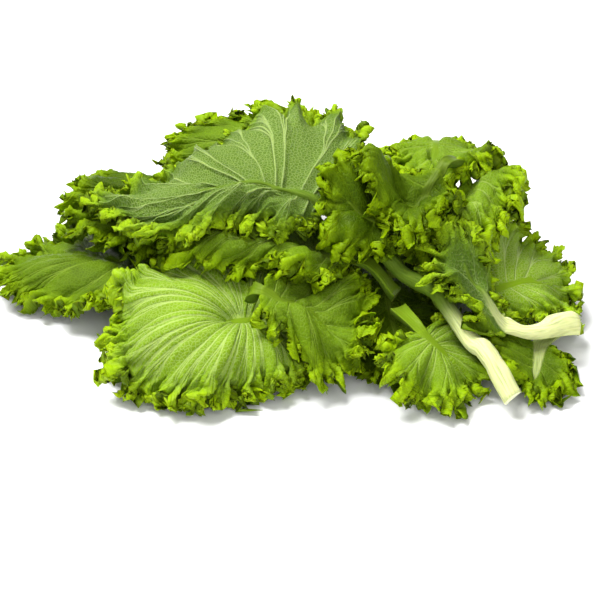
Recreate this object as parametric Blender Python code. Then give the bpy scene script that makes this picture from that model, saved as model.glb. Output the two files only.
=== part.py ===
"""Curly mustard greens: a loose bunch of cut leaves, lying in a heap.

Each leaf is one solid of its own: a grooved stalk that runs on as the midrib, and a thin blade with a
pleated, ruffled edge. The leaves are listed from the lowest to the highest. A leaf is first drawn flat, then
bent along its midrib and across it, then ruffled, and last raised just clear of the leaves that it lies on.

Lengths are millimetres until the meshes are made, which are in metres. X runs to the right of the heap,
Y to its back and Z up, with the origin on the surface that the heap lies on.
"""

import math
from dataclasses import dataclass

import bpy
import numpy as np
from mathutils.bvhtree import BVHTree

MM = 0.001

# The upper side is a bright, slightly glossy green, and the underside a paler, duller grey green.
UPPER_COLOUR = (0.16, 0.33, 0.03)
UPPER_ROUGHNESS = 0.45
UNDER_COLOUR = (0.22, 0.35, 0.11)
UNDER_ROUGHNESS = 0.65

# A leaf's thicknesses: the blade's, and how far the midrib and the stalk stand out below it. THINNEST is what
# is left where a leaf is pressed flat on the ground, as a share of the blade's. The midrib narrows and thins
# to shares of its size at its tip, narrowing the sooner the smaller RIB_NARROWING is, and the stalk widens
# towards its cut end. GROOVE is the stalk's hollow.
BLADE = 1.0
THINNEST = 0.7
RIB_DEPTH = 4.0
STALK_DEPTH = 7.5
RIB_TIP_WIDTH = 0.2
RIB_NARROWING = 0.4
RIB_TIP_DEPTH = 0.15
STALK_FLARE = 0.45
GROOVE = 1.3

# How much a midrib's thickness follows its own upright against the lie of the blade beside it.
UPRIGHT = 2.0

# The grid of a leaf: rows at shares of the way across the midrib, then across the blade. The columns double
# twice on their way from the midrib to the edge.
SAMPLES_PER_WAVE = 4
RIB_ROWS = (0.0, 0.62, 1.0)
INNER_ROWS = (0.28, 0.52)
MIDDLE_ROWS = (0.72,)
OUTER_ROWS = (0.87, 1.0)
STALK_STEP = 18.0

# The outline of a blade: how full it is between its widest place and its ends, and how fast its lobes that
# reach back die away towards the tip.
FULLNESS = 0.85
LOBE_FADE = 1.5
OUTLINE_STEPS = 601

# The length of a blade's first rays beside the stalk, how evenly the rays leave the midrib, how far they bow
# back, as a share of the leaf's length, and how much and how often they crowd along the edge.
SHOULDER = 10.0
ROOT_SPREAD = 0.3
BOW = 0.1
CROWDING = 0.018
CROWDS = 3

# Where the edge passes from the left half's width to the right half's, as shares of the way round.
ROUND_TIP = (0.42, 0.58)

# Ruffles: how high one may be as a share of its width, where across the blade they start and are full, how
# far round the edge they grow, and the slow swings in their height, each a share, a rate and a turn by seed.
HIGHEST_RUFFLE = 0.24
RUFFLE_REACH = (0.45, 1.0)
PLEAT_REACH = (0.05, 0.75)
RUFFLE_ENDS = 0.1
RUFFLE_SWINGS = ((0.35, 9.1, 2.7), (0.2, 23.0, 1.0))

# How far the ruffles that lie on the ground are pressed into it, and how gently a blade turns to lie on it.
GROUND_DIP = 0.8
GROUND_ROUNDING = 3.0

# How one leaf lies on another: the gap between them, and the map of heights that they are laid on. Places
# for the map are read from every face at steps that grow with the face.
CLEARANCE = 0.5
CELL = 2.5
SAMPLE_SPACING = 1.7
SAMPLE_PARTS = (4, 8, 16, 32, 64)
SPREAD_CELLS = 2
MOST_RAISES = 40
MOST_EASINGS = 30
FIELD_LOW = (-290.0, -230.0)
FIELD_SIZE = (580.0, 460.0)


@dataclass
class Leaf:
    """The driving dimensions of one leaf, in millimetres and degrees.

    The stalk and the midrib each run through a few points. Left and right are as seen along the midrib
    towards the tip, from above. Curls bend each half down, and roll turns the whole blade, at its start and
    at its tip. The midrib carries rays over rib_share of its length, lobes reach back by a share of it, and
    the halves narrow by the share taper towards the tip.
    """

    name: str
    stalk: tuple
    midrib: tuple
    half_widths: tuple
    curls: tuple
    roll: tuple = (0.0, 0.0)
    rib_share: float = 0.62
    back: float = 0.0
    widest: float = 1.12
    taper: float = 0.0
    dome: float = 0.0
    pleats: int = 4
    pleat_height: float = 6.0
    waves: int = 14
    wave_height: float = 7.0
    stalk_width: float = 10.0
    seed: float = 0.0
    underside_up: bool = False


LEAVES = (
    Leaf(
        "leaf_back_left",
        stalk=((95, 0, 3.8), (50, 25, 7)),
        midrib=((50, 25, 7), (-40, 75, 22), (-120, 100, 10)),
        half_widths=(75, 60),
        curls=(30, 50),
        waves=18,
        seed=1,
    ),
    Leaf(
        "leaf_back_right",
        stalk=((120, -60, 8), (90, -10, 12)),
        midrib=((90, -10, 10), (105, 55, 24), (115, 115, 8)),
        half_widths=(80, 60),
        curls=(30, 50),
        waves=16,
        seed=2,
    ),
    Leaf(
        "leaf_far_left",
        stalk=((-40, -40, 12), (-100, -10, 30)),
        midrib=((-100, -10, 22), (-165, 12, 33), (-226, 42, 16)),
        half_widths=(60, 68),
        curls=(60, 10),
        roll=(20, 12),
        waves=18,
        seed=3,
    ),
    Leaf(
        "leaf_left_low",
        stalk=((60, -30, 25), (0, 0, 40)),
        midrib=((0, 0, 40), (-90, 42, 66), (-186, 55, 60)),
        half_widths=(60, 60),
        curls=(40, 50),
        waves=20,
        seed=4,
    ),
    Leaf(
        "leaf_front_low",
        stalk=((60, 20, 16), (60, 2, 18)),
        midrib=((62, -14, 18), (70, -66, 20), (76, -120, 6)),
        half_widths=(46, 46),
        curls=(40, 40),
        waves=16,
        pleat_height=4,
        wave_height=5,
        seed=19,
    ),
    Leaf(
        "leaf_front",
        stalk=((34, -66, 20), (0, -76, 26), (-31, -80, 34)),
        midrib=((-31, -80, 34), (-86, -98, 36), (-140, -108, 14)),
        half_widths=(66, 86),
        curls=(30, 50),
        rib_share=0.2,
        back=0.9,
        dome=18,
        pleats=7,
        pleat_height=5,
        waves=22,
        roll=(-16, -12),
        stalk_width=9,
        seed=5,
    ),
    Leaf(
        "leaf_front_right",
        stalk=((72, -78, 44), (80, -92, 44)),
        midrib=((88, -106, 42), (109, -124, 28), (127, -141, 8)),
        half_widths=(58, 46),
        curls=(20, 40),
        rib_share=0.4,
        back=0.5,
        waves=14,
        pleats=5,
        stalk_width=9,
        seed=6,
    ),
    Leaf(
        "leaf_right_low",
        stalk=((192, -66, 20), (184, -80, 20)),
        midrib=((178, -90, 20), (172, -116, 14), (164, -141, 2)),
        half_widths=(26, 38),
        curls=(30, 30),
        waves=12,
        wave_height=6,
        pleat_height=3,
        stalk_width=13,
        seed=7,
    ),
    Leaf(
        "leaf_right",
        stalk=((100, -84, 38), (116, -74, 40)),
        midrib=((124, -70, 44), (170, -46, 46), (212, -24, 18)),
        half_widths=(60, 36),
        curls=(-5, 45),
        roll=(34, 20),
        waves=18,
        pleat_height=5,
        wave_height=6,
        seed=8,
    ),
    Leaf(
        "leaf_front_middle",
        stalk=((-38, -76, 28), (-33, -80, 34)),
        midrib=((-28, -84, 38), (14, -100, 42), (50, -108, 30)),
        half_widths=(60, 46),
        curls=(10, 60),
        roll=(28, 14),
        back=0.0,
        pleats=5,
        waves=14,
        stalk_width=7.5,
        seed=9,
    ),
    Leaf(
        "leaf_middle",
        stalk=((72, -64, 46), (52, -54, 52)),
        midrib=((40, -50, 55), (-30, -30, 75), (-100, -5, 60)),
        half_widths=(48, 42),
        curls=(80, 30),
        pleat_height=5,
        wave_height=6,
        waves=16,
        seed=10,
    ),
    Leaf(
        "leaf_back",
        stalk=((66, 30, 50), (50, 46, 56)),
        midrib=((34, 60, 62), (-32, 98, 84), (-108, 98, 66)),
        half_widths=(36, 46),
        curls=(10, 14),
        roll=(-20, -16),
        waves=20,
        seed=11,
    ),
    Leaf(
        "leaf_back_middle",
        stalk=((72, -40, 52), (66, -18, 58)),
        midrib=((62, 0, 64), (56, 34, 80), (50, 68, 86)),
        half_widths=(36, 36),
        curls=(50, 50),
        waves=14,
        seed=20,
    ),
    Leaf(
        "leaf_right_back",
        stalk=((116, -30, 38), (113, -14, 40)),
        midrib=((112, 0, 42), (134, 34, 46), (148, 60, 30)),
        half_widths=(34, 34),
        curls=(50, 50),
        pleat_height=4,
        wave_height=5,
        seed=18,
    ),
    Leaf(
        "leaf_right_high",
        stalk=((146, 62, 48), (141, 54, 58)),
        midrib=((135, 44, 70), (122, -6, 70), (104, -46, 56)),
        half_widths=(42, 50),
        curls=(40, 40),
        back=0.4,
        waves=16,
        stalk_width=7.5,
        seed=15,
    ),
    Leaf(
        "leaf_back_high",
        stalk=((113, 98, 72), (111, 90, 84)),
        midrib=((108, 80, 98), (104, 44, 108), (98, 6, 88)),
        half_widths=(50, 38),
        curls=(40, 50),
        back=0.2,
        waves=16,
        stalk_width=7.5,
        seed=12,
    ),
    Leaf(
        "leaf_top",
        stalk=((152, -150, 12), (118, -107, 38), (70, -56, 64), (20, -34, 98)),
        midrib=((20, -34, 98), (-33, -20, 108), (-98, -6, 100), (-160, 38, 66)),
        half_widths=(66, 150),
        curls=(40, 105),
        roll=(-52, -10),
        widest=0.72,
        taper=0.62,
        pleats=6,
        waves=22,
        stalk_width=10.5,
        seed=14,
        rib_share=0.45,
        underside_up=True,
    ),
    Leaf(
        "leaf_right_mid",
        stalk=((204, -78, 26), (178, -88, 28)),
        midrib=((150, -97, 34), (128, -78, 46), (104, -50, 54)),
        half_widths=(34, 18),
        curls=(50, 40),
        waves=12,
        pleat_height=3,
        wave_height=4,
        stalk_width=11,
        seed=13,
        underside_up=True,
    ),
    Leaf(
        "leaf_centre_low",
        stalk=((90, -30, 60), (80, -33, 61)),
        midrib=((70, -36, 62), (44, -40, 64), (14, -38, 62)),
        half_widths=(28, 30),
        curls=(50, 30),
        back=0.2,
        waves=12,
        pleat_height=4,
        wave_height=5,
        stalk_width=8,
        seed=17,
    ),
    Leaf(
        "leaf_centre",
        stalk=((120, 18, 70), (112, 9, 75)),
        midrib=((104, 0, 80), (82, -24, 84), (56, -52, 68)),
        half_widths=(40, 38),
        curls=(50, 50),
        waves=16,
        stalk_width=8,
        seed=16,
    ),
)


def ease(x, low, high):
    """A smooth step from 0 at low to 1 at high."""
    s = np.clip((np.asarray(x, float) - low) / (high - low), 0, 1)
    return s * s * (3 - 2 * s)


def curve_through(points, per_span=24):
    """A smooth curve through the points: Catmull-Rom spans between mirrored end points."""
    p = np.array(points, float)
    p = np.vstack([2 * p[0] - p[1], p, 2 * p[-1] - p[-2]])
    t = np.linspace(0, 1, per_span, endpoint=False)[:, None]
    spans = [
        0.5 * (2 * b + (c - a) * t + (2 * a - 5 * b + 4 * c - d) * t**2 + (3 * b - a - 3 * c + d) * t**3)
        for a, b, c, d in zip(p, p[1:], p[2:], p[3:])
    ]
    return np.vstack([*spans, p[-2:-1]])


class Spine:
    """The stalk and midrib of a leaf as one line, by the distance along it from where the blade starts."""

    def __init__(self, leaf):
        whole = curve_through(leaf.stalk[:-1] + leaf.midrib)
        steps = np.linalg.norm(np.diff(whole, axis=0), axis=1)
        along = np.concatenate([[0], np.cumsum(steps)])
        start = np.argmin(np.linalg.norm(whole - np.array(leaf.midrib[0], float), axis=1))
        self.along = along - along[start]
        self.points = whole
        self.length = self.along[-1]
        self.stalk_length = -self.along[0]
        forward = np.gradient(whole, self.along, axis=0)
        self.forward = forward / np.linalg.norm(forward, axis=1)[:, None]
        up = np.array([0.0, 0.0, 1.0]) - self.forward[:, 2:] * self.forward
        up /= np.linalg.norm(up, axis=1)[:, None]
        side = np.cross(up, self.forward)
        roll = leaf.roll[0] + (leaf.roll[1] - leaf.roll[0]) * ease(self.along, 0, self.length)
        turn = np.radians(roll)[:, None]
        self.side = side * np.cos(turn) + up * np.sin(turn)
        self.up = up * np.cos(turn) - side * np.sin(turn)

    def at(self, values, a):
        """One of the spine's rows of vectors at distances a. Past its ends the last vector stays."""
        return np.stack([np.interp(a, self.along, values[:, i]) for i in range(3)], -1)

    def place(self, a, blade=True):
        """Points at distances a. The blade's lobes reach behind its start along a straight line."""
        inside = np.clip(a, 0.0 if blade else self.along[0], self.length)
        return self.at(self.points, inside) + (a - inside)[..., None] * self.at(self.forward, inside)


class Blade:
    """The flat drawing of a leaf's blade: rays that leave the midrib and end on the edge."""

    def __init__(self, leaf, spine):
        self.leaf = leaf
        self.length = spine.length
        v = np.linspace(0, 1, OUTLINE_STEPS)
        a, b = self.edge(v, np.full_like(v, np.mean(leaf.half_widths)))
        start = np.argmax(np.hypot(a, b - leaf.stalk_width / 2) >= SHOULDER)
        v, a, b = v[start:], a[start:], b[start:]
        run = np.concatenate([[0], np.cumsum(np.hypot(np.diff(a), np.diff(b)))])
        self.v, self.run = v, run / run[-1]
        self.ruffle_height = min(leaf.wave_height, HIGHEST_RUFFLE * 2 * run[-1] / leaf.waves)

    def edge(self, v, half_width):
        """The edge from the blade's start, v = 0, to its tip, v = 1: a long oval, widest towards the tip,
        whose lobes may reach back behind the start."""
        leaf = self.leaf
        swell = np.sin(math.pi * v**leaf.widest)
        lobe = leaf.back * np.sin(math.pi * v) * (1 - v) ** LOBE_FADE
        a = self.length * ((1 - np.cos(math.pi * v)) / 2 - lobe)
        half_width = half_width * (1 - leaf.taper * v) * np.abs(swell) ** FULLNESS
        return a, leaf.stalk_width / 2 * (1 - v) + half_width

    def rays(self, t):
        """Where each column's ray starts and ends. t runs from 0 at the left of the blade's start, past 0.5
        at its tip, to 1 at the right. The columns crowd and spread a little, the same on both sides."""
        share = 1 - np.abs(2 * t - 1)
        crowd = np.sin(2 * math.pi * CROWDS * share + self.leaf.seed) * np.sin(math.pi * share)
        share = share + CROWDING * crowd
        v = np.interp(share, self.run, self.v)
        left, right = self.leaf.half_widths
        turn = ease(t, *ROUND_TIP)
        a_edge, b_edge = self.edge(v, left * (1 - turn) + right * turn)
        b_edge = np.where(np.abs(t - 0.5) < 1e-9, 0.0, b_edge)
        side = np.where(t <= 0.5, 1.0, -1.0)
        root = ROOT_SPREAD * share + (1 - ROOT_SPREAD) * (v - self.v[0]) / (1 - self.v[0])
        a_root = self.leaf.rib_share * self.length * root
        return v, side, a_root, a_edge, b_edge * side

    def rib_half_width(self, a):
        narrowed = (1 - RIB_TIP_WIDTH) * np.clip(a / self.length, 0, 1) ** RIB_NARROWING
        return self.leaf.stalk_width / 2 * (1 - narrowed)


def relief(leaf, t, y, ruffle_height):
    """How far the blade stands off its smooth form, at column t and share y of the way to the edge: a dome
    with broad pleats along the rays, then the edge's ruffles, and how high they may stand there."""
    strength = 1 + sum(share * np.sin(rate * t + turn * leaf.seed) for share, rate, turn in RUFFLE_SWINGS)
    ends = ease(t, 0, RUFFLE_ENDS) * ease(1 - t, 0, RUFFLE_ENDS)
    dome = leaf.dome * np.sin(math.pi * np.clip(y, 0, 1) ** 0.8)
    pleat = leaf.pleat_height * ease(y, *PLEAT_REACH) * np.cos(2 * math.pi * leaf.pleats * t + leaf.seed)
    height = ends * strength * ruffle_height * ease(y, *RUFFLE_REACH)
    return dome + ends * pleat, height * np.cos(2 * math.pi * leaf.waves * t), height


def bend(leaf, spine, a, b, lift):
    """Flat place (a, b) on the bent leaf: round an arc to each side of the midrib, then lift off it. Gives
    the arc's normal there too."""
    left = np.asarray(b) >= 0
    half_width = np.where(left, *leaf.half_widths)
    rate = np.radians(np.where(left, *leaf.curls)) / half_width
    rate = np.where(np.abs(rate) < 1e-6, 1e-6, rate)
    angle = rate * np.abs(b)
    out = (np.sin(angle) / rate * np.sign(b))[..., None]
    down = ((1 - np.cos(angle)) / rate)[..., None]
    start = np.clip(a, 0, spine.length)
    side, up = spine.at(spine.side, start), spine.at(spine.up, start)
    normal = up * np.cos(angle)[..., None] + side * (np.sin(angle) * np.sign(b))[..., None]
    return spine.place(a) + side * out - up * down + normal * np.asarray(lift)[..., None], normal


def off_ground(z, reserve):
    """Heights raised smoothly to stand at least a reserve above the ground: half the sum of what is left
    above it and that amount's size, rounded where it is near nothing."""
    left = z - reserve
    return reserve + (left + np.sqrt(left**2 + GROUND_ROUNDING**2)) / 2


class Sheet:
    """A leaf's middle surface: points, how far the leaf is thick above and below each, and for the midrib
    and the stalk which way is up. That is zero on the blade."""

    def __init__(self):
        self.points, self.above, self.below, self.up, self.triangles = [], [], [], [], []

    def add(self, points, above, below, up):
        first = len(self.points)
        self.points.extend(points)
        self.above.extend(np.broadcast_to(above, len(points)))
        self.below.extend(np.broadcast_to(below, len(points)))
        self.up.extend(np.broadcast_to(up, (len(points), 3)))
        return np.arange(first, len(self.points))

    def strip(self, inner, outer):
        """Triangles between two rows of columns. The outer row has as many columns, or twice as many."""
        columns = len(inner) - 1
        if len(outer) == len(inner):
            for i in range(columns):
                a, b, c, d = inner[i], inner[i + 1], outer[i + 1], outer[i]
                if (i + columns // 2) % 2:
                    self.triangles += [(a, b, d), (b, c, d)]
                else:
                    self.triangles += [(a, b, c), (a, c, d)]
            return
        for i in range(columns):
            a, b = inner[i], inner[i + 1]
            c, middle, d = outer[2 * i], outer[2 * i + 1], outer[2 * i + 2]
            self.triangles += [(a, middle, c), (a, b, middle), (b, d, middle)]

    def arrays(self):
        kept = [np.array(values) for values in (self.points, self.above, self.below, self.up)]
        return *kept, np.array([f for f in self.triangles if len(set(f)) == 3])


def blade_row(leaf, spine, blade, columns, row, in_rib):
    """One row of blade points, from the left of its start round the tip to the right, with what is thick."""
    t = np.linspace(0, 1, columns + 1)
    v, side, a_root, a_edge, b_edge = blade.rays(t)
    half_width = blade.rib_half_width(a_root) * (row if in_rib else 1.0)
    a_rib = a_root + half_width * v**8
    b_rib = side * half_width * np.sqrt(1 - v**16)
    y = 0.0 if in_rib else row
    a = a_rib + (a_edge - a_rib) * y - BOW * spine.length * np.sin(math.pi * v) * y * (1 - y)
    b = b_rib + (b_edge - b_rib) * y
    broad, ruffle, height = relief(leaf, t, y, blade.ruffle_height)
    points, normal = bend(leaf, spine, a, b, broad)
    points[:, 2] = off_ground(points[:, 2], height * np.abs(normal[:, 2]) - GROUND_DIP)
    points = points + normal * ruffle[:, None]
    depth = RIB_DEPTH * (1 - (1 - RIB_TIP_DEPTH) * v) * math.sqrt(1 - row * row) if in_rib else 0 * t
    up = spine.at(spine.up, a_root) if in_rib else np.zeros_like(points)
    return points, BLADE / 2, BLADE / 2 + depth, up


def sheet_of(leaf, spine, blade):
    """The blade's rows from the midrib to the edge, then the stalk's stations to its cut end."""
    sheet = Sheet()
    outer = SAMPLES_PER_WAVE * leaf.waves
    inner = outer // 4
    points, above, below, up = blade_row(leaf, spine, blade, inner, 0.0, True)
    half = inner // 2 + 1
    middle = sheet.add(points[:half], above, below[:half], up[:half])
    rows = [np.concatenate([middle, middle[-2::-1]])]
    for row in RIB_ROWS[1:]:
        rows.append(sheet.add(*blade_row(leaf, spine, blade, inner, row, True)))
    stalk_ends = [ids[0] for ids in rows[::-1]] + [ids[-1] for ids in rows[1:]]
    for count, shares in ((inner, INNER_ROWS), (inner * 2, MIDDLE_ROWS), (outer, OUTER_ROWS)):
        for row in shares:
            rows.append(sheet.add(*blade_row(leaf, spine, blade, count, row, False)))
    for inside, outside in zip(rows, rows[1:]):
        sheet.strip(inside, outside)
    add_stalk(sheet, leaf, spine, np.array(stalk_ends))
    if leaf.underside_up:
        sheet.above, sheet.below = sheet.below, sheet.above
    return sheet.arrays()


def add_stalk(sheet, leaf, spine, first):
    """The stalk: stations from the blade's start to the cut end, each grooved above and round below."""
    across = np.array(RIB_ROWS[::-1] + tuple(-x for x in RIB_ROWS[1:]))
    groove = -GROOVE if leaf.underside_up else GROOVE
    stations = max(3, round(spine.stalk_length / STALK_STEP))
    last = first
    for i in range(1, stations + 1):
        share = i / stations
        a = np.full(len(across), -spine.stalk_length * share)
        half_width = leaf.stalk_width / 2 * (1 + STALK_FLARE * share)
        depth = (RIB_DEPTH + (STALK_DEPTH - RIB_DEPTH) * share) * np.sqrt(1 - across**2)
        raised = groove * across**2 * ease(share, 0, 0.3)
        side, up = spine.at(spine.side, a), spine.at(spine.up, a)
        points = spine.place(a, blade=False) + side * (across * half_width)[:, None] + up * raised[:, None]
        ids = sheet.add(points, BLADE / 2, BLADE / 2 + depth, up)
        sheet.strip(ids, last)
        last = ids


def point_normals(points, faces):
    """The unit normal at each point, from the faces that meet there."""
    a, b, c = (points[faces[:, i]] for i in range(3))
    flat = np.cross(b - a, c - a)
    normals = np.zeros_like(points)
    for i in range(3):
        np.add.at(normals, faces[:, i], flat)
    return normals / np.maximum(np.linalg.norm(normals, axis=1), 1e-9)[:, None]


def thicken(points, above, below, up, faces):
    """The closed solid of a sheet: its upper and lower faces, alike, and the rim between them. What would
    go through the ground lies flat on it."""
    normals = point_normals(points, faces) + UPRIGHT * up
    normals /= np.linalg.norm(normals, axis=1)[:, None]
    top = points + normals * above[:, None]
    bottom = points - normals * below[:, None]
    bottom[:, 2] = np.maximum(bottom[:, 2], 0.0)
    top[:, 2] = np.maximum(top[:, 2], bottom[:, 2] + THINNEST * BLADE)
    count = len(points)
    edges = np.concatenate([faces[:, [0, 1]], faces[:, [1, 2]], faces[:, [2, 0]]])
    keys = np.sort(edges, axis=1)
    _, index, times = np.unique(keys, axis=0, return_inverse=True, return_counts=True)
    rim = edges[times[index.reshape(-1)] == 1]
    sides = np.concatenate(
        [
            np.stack([rim[:, 1], rim[:, 0], rim[:, 0] + count], 1),
            np.stack([rim[:, 1], rim[:, 0] + count, rim[:, 1] + count], 1),
        ]
    )
    return np.vstack([top, bottom]), np.concatenate([faces, faces[:, ::-1] + count, sides])


def scatter(points, faces):
    """Places spread evenly over every face, closer together than a cell is wide."""
    corners = points[faces]
    longest = np.linalg.norm(corners - np.roll(corners, 1, axis=1), axis=2).max(axis=1)
    found = []
    for parts in SAMPLE_PARTS:
        fits = longest <= parts * SAMPLE_SPACING
        chosen = (fits | (parts == SAMPLE_PARTS[-1])) & (longest > 0)
        longest = np.where(fits, 0, longest)
        i, j = np.meshgrid(np.arange(parts + 1), np.arange(parts + 1), indexing="ij")
        keep = i + j <= parts
        w = np.stack([i[keep], j[keep], parts - i[keep] - j[keep]], 1) / parts
        found.append(np.einsum("sk,fkd->fsd", w, corners[chosen]).reshape(-1, 3))
    return np.concatenate(found)


def heights(points, faces, lowest):
    """A map of the solid's lowest or highest point over each cell of the ground."""
    size = tuple(int(s / CELL) for s in FIELD_SIZE)
    places = scatter(points, faces)
    cell = ((places[:, :2] - FIELD_LOW) / CELL).astype(int)
    index = np.clip(cell[:, 0], 0, size[0] - 1) * size[1] + np.clip(cell[:, 1], 0, size[1] - 1)
    field = np.full(size[0] * size[1], np.inf if lowest else -np.inf)
    (np.minimum if lowest else np.maximum).at(field, index, places[:, 2])
    return field.reshape(size)


def widest(field, cells):
    """The highest value within so many cells, each way."""
    for axis in (0, 1):
        field = np.maximum.reduce([np.roll(field, s, axis) for s in range(-cells, cells + 1)])
    return field


def averaged(field, cells):
    """The mean value within so many cells, each way."""
    for axis in (0, 1):
        field = np.mean([np.roll(field, s, axis) for s in range(-cells, cells + 1)], axis=0)
    return field


def read(field, places):
    """A field's value at places on the ground, blended between the centres of its cells."""
    at = (places[:, :2] - FIELD_LOW) / CELL - 0.5
    low = np.floor(at).astype(int)
    low = np.clip(low, 0, np.array(field.shape) - 2)
    f = np.clip(at - low, 0, 1)
    i, j = low[:, 0], low[:, 1]
    near = field[i, j] * (1 - f[:, 1]) + field[i, j + 1] * f[:, 1]
    far = field[i + 1, j] * (1 - f[:, 1]) + field[i + 1, j + 1] * f[:, 1]
    return near * (1 - f[:, 0]) + far * f[:, 0]


def raise_clear(ground, points, above, below, up, faces):
    """Raises a sheet smoothly until its solid clears the ground map everywhere."""
    for _ in range(MOST_RAISES):
        solid, solid_faces = thicken(points, above, below, up, faces)
        short = widest(ground, 1) - heights(solid, solid_faces, True) + CLEARANCE
        short = np.where(np.isfinite(short), np.maximum(short, 0), 0)
        if short.max() <= 0:
            break
        raised = averaged(averaged(widest(short, 2 * SPREAD_CELLS), SPREAD_CELLS), SPREAD_CELLS)
        points = points + np.stack([0 * points[:, 0], 0 * points[:, 0], read(raised, points)], 1)
    return points, solid, solid_faces


def tight_points(solid, solid_faces, faces):
    """The points of a sheet where its solid crosses itself, or where a face has turned over."""
    tree = BVHTree.FromPolygons(solid.tolist(), solid_faces.tolist())
    pairs = np.array(tree.overlap(tree), int).reshape(-1, 2)
    first, second = solid_faces[pairs[:, 0]], solid_faces[pairs[:, 1]]
    apart = ~(first[:, :, None] == second[:, None, :]).any(axis=(1, 2))
    a, b, c = (solid[solid_faces[:, i]] for i in range(3))
    facing = np.cross(b - a, c - a)
    turned = np.sum(facing[: len(faces)] * facing[len(faces) : 2 * len(faces)], axis=1) >= 0
    found = np.concatenate([first[apart].ravel(), second[apart].ravel(), faces[turned].ravel()])
    return np.unique(found % (len(solid) // 2))


def eased(points, faces, tight):
    """The sheet's points with the tight ones and their neighbours moved halfway to their neighbours' mean."""
    links = np.concatenate([faces[:, [0, 1]], faces[:, [1, 2]], faces[:, [2, 0]]])
    links = np.concatenate([links, links[:, ::-1]])
    total = np.zeros_like(points)
    np.add.at(total, links[:, 0], points[links[:, 1]])
    times = np.bincount(links[:, 0], minlength=len(points))[:, None]
    near = np.zeros(len(points), bool)
    near[tight] = True
    near[links[near[links[:, 0]], 1]] = True
    return np.where(near[:, None], (points + total / times) / 2, points)


def lay_on(ground, points, above, below, up, faces):
    """Lays a sheet on the ground map, and eases its folds wherever its solid would cross itself."""
    for _ in range(MOST_EASINGS):
        points, solid, solid_faces = raise_clear(ground, points, above, below, up, faces)
        tight = tight_points(solid, solid_faces, faces)
        if len(tight) == 0:
            return points, solid, solid_faces
        points = eased(points, faces, tight)
    raise RuntimeError("a leaf still crosses itself")


def mesh_object(name, points, faces, material):
    mesh = bpy.data.meshes.new(name)
    mesh.from_pydata((points * MM).tolist(), [], faces.tolist())
    mesh.materials.append(material)
    mesh.update()
    made = bpy.data.objects.new(name, mesh)
    bpy.context.scene.collection.objects.link(made)
    return made


def leaf_material(name, colour, roughness):
    material = bpy.data.materials.new(name)
    material.use_nodes = True
    shader = material.node_tree.nodes["Principled BSDF"]
    shader.inputs["Base Color"].default_value = (*colour, 1)
    shader.inputs["Roughness"].default_value = roughness
    shader.inputs["Metallic"].default_value = 0.0
    return material


def main():
    for old in list(bpy.data.objects):
        bpy.data.objects.remove(old)
    upper = leaf_material("leaf", UPPER_COLOUR, UPPER_ROUGHNESS)
    under = leaf_material("leaf_underside", UNDER_COLOUR, UNDER_ROUGHNESS)
    ground = np.full(tuple(int(s / CELL) for s in FIELD_SIZE), -np.inf)
    heap = []
    for leaf in LEAVES:
        spine = Spine(leaf)
        sheet = sheet_of(leaf, spine, Blade(leaf, spine))
        _, solid, faces = lay_on(ground, *sheet)
        ground = np.maximum(ground, heights(solid, faces, False))
        heap.append((leaf, solid, faces))
    everything = np.vstack([solid for _, solid, _ in heap])
    centre = (everything.min(axis=0) + everything.max(axis=0)) / 2 * (1, 1, 0)
    for leaf, solid, faces in heap:
        mesh_object(leaf.name, solid - centre, faces, under if leaf.underside_up else upper)


main()
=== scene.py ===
"""The looks of a loose bunch of curly mustard greens.

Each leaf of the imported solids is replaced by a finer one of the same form: a blade with lateral veins,
blisters between them and a frilled, toothed edge, and a midrib that runs on as the cut stalk. A leaf is
drawn flat, bent along its midrib and across it, pleated and ruffled, and laid on the leaves below it as
its solid was. Then the finest forms are raised from it along its normals.

Lengths are millimetres until the meshes are made, which are in metres.
"""

import functools
import math
from dataclasses import dataclass

import bpy
import numpy as np
from bpy.props import FloatProperty, FloatVectorProperty, PointerProperty
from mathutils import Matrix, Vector
from mathutils.bvhtree import BVHTree


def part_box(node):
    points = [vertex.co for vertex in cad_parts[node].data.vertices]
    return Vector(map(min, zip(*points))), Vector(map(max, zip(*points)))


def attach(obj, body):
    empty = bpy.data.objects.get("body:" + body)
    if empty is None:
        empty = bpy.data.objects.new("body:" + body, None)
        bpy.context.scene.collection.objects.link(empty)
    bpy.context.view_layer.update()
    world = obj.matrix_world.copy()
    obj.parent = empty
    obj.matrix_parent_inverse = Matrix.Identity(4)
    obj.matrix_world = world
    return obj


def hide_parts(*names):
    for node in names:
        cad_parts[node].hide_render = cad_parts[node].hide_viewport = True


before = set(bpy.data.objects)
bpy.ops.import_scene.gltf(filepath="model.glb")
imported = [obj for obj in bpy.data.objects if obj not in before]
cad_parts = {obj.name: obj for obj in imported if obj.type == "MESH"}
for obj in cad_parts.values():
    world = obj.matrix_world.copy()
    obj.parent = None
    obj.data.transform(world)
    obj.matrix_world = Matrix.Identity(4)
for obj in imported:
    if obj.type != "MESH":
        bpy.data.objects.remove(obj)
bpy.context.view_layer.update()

bl_info = {
    "name": "Curly mustard greens",
    "version": (1, 0, 0),
    "blender": (4, 5, 0),
    "location": "View3D > Sidebar > Greens",
    "description": "A heap of frilled leaves with their veins, midribs and cut stalks",
    "category": "Add Mesh",
}

MM = 0.001

# The leaf as a solid: the blade's thickness, what is left of it where a leaf is pressed flat on the
# ground, and how far the midrib and the stalk stand out below it. The midrib narrows and thins to shares
# of its size at its tip, narrowing the sooner the smaller RIB_NARROWING is, and the stalk widens towards
# its cut end. GROOVE is the stalk's hollow, UPRIGHT how much a midrib's thickness follows its own upright
# against the lie of the blade beside it.
BLADE = 1.0
THINNEST = 0.7
RIB_DEPTH = 4.0
STALK_DEPTH = 7.5
RIB_TIP_WIDTH = 0.2
RIB_NARROWING = 0.4
RIB_TIP_DEPTH = 0.15
STALK_FLARE = 0.45
GROOVE = 1.3
UPRIGHT = 2.0

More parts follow.
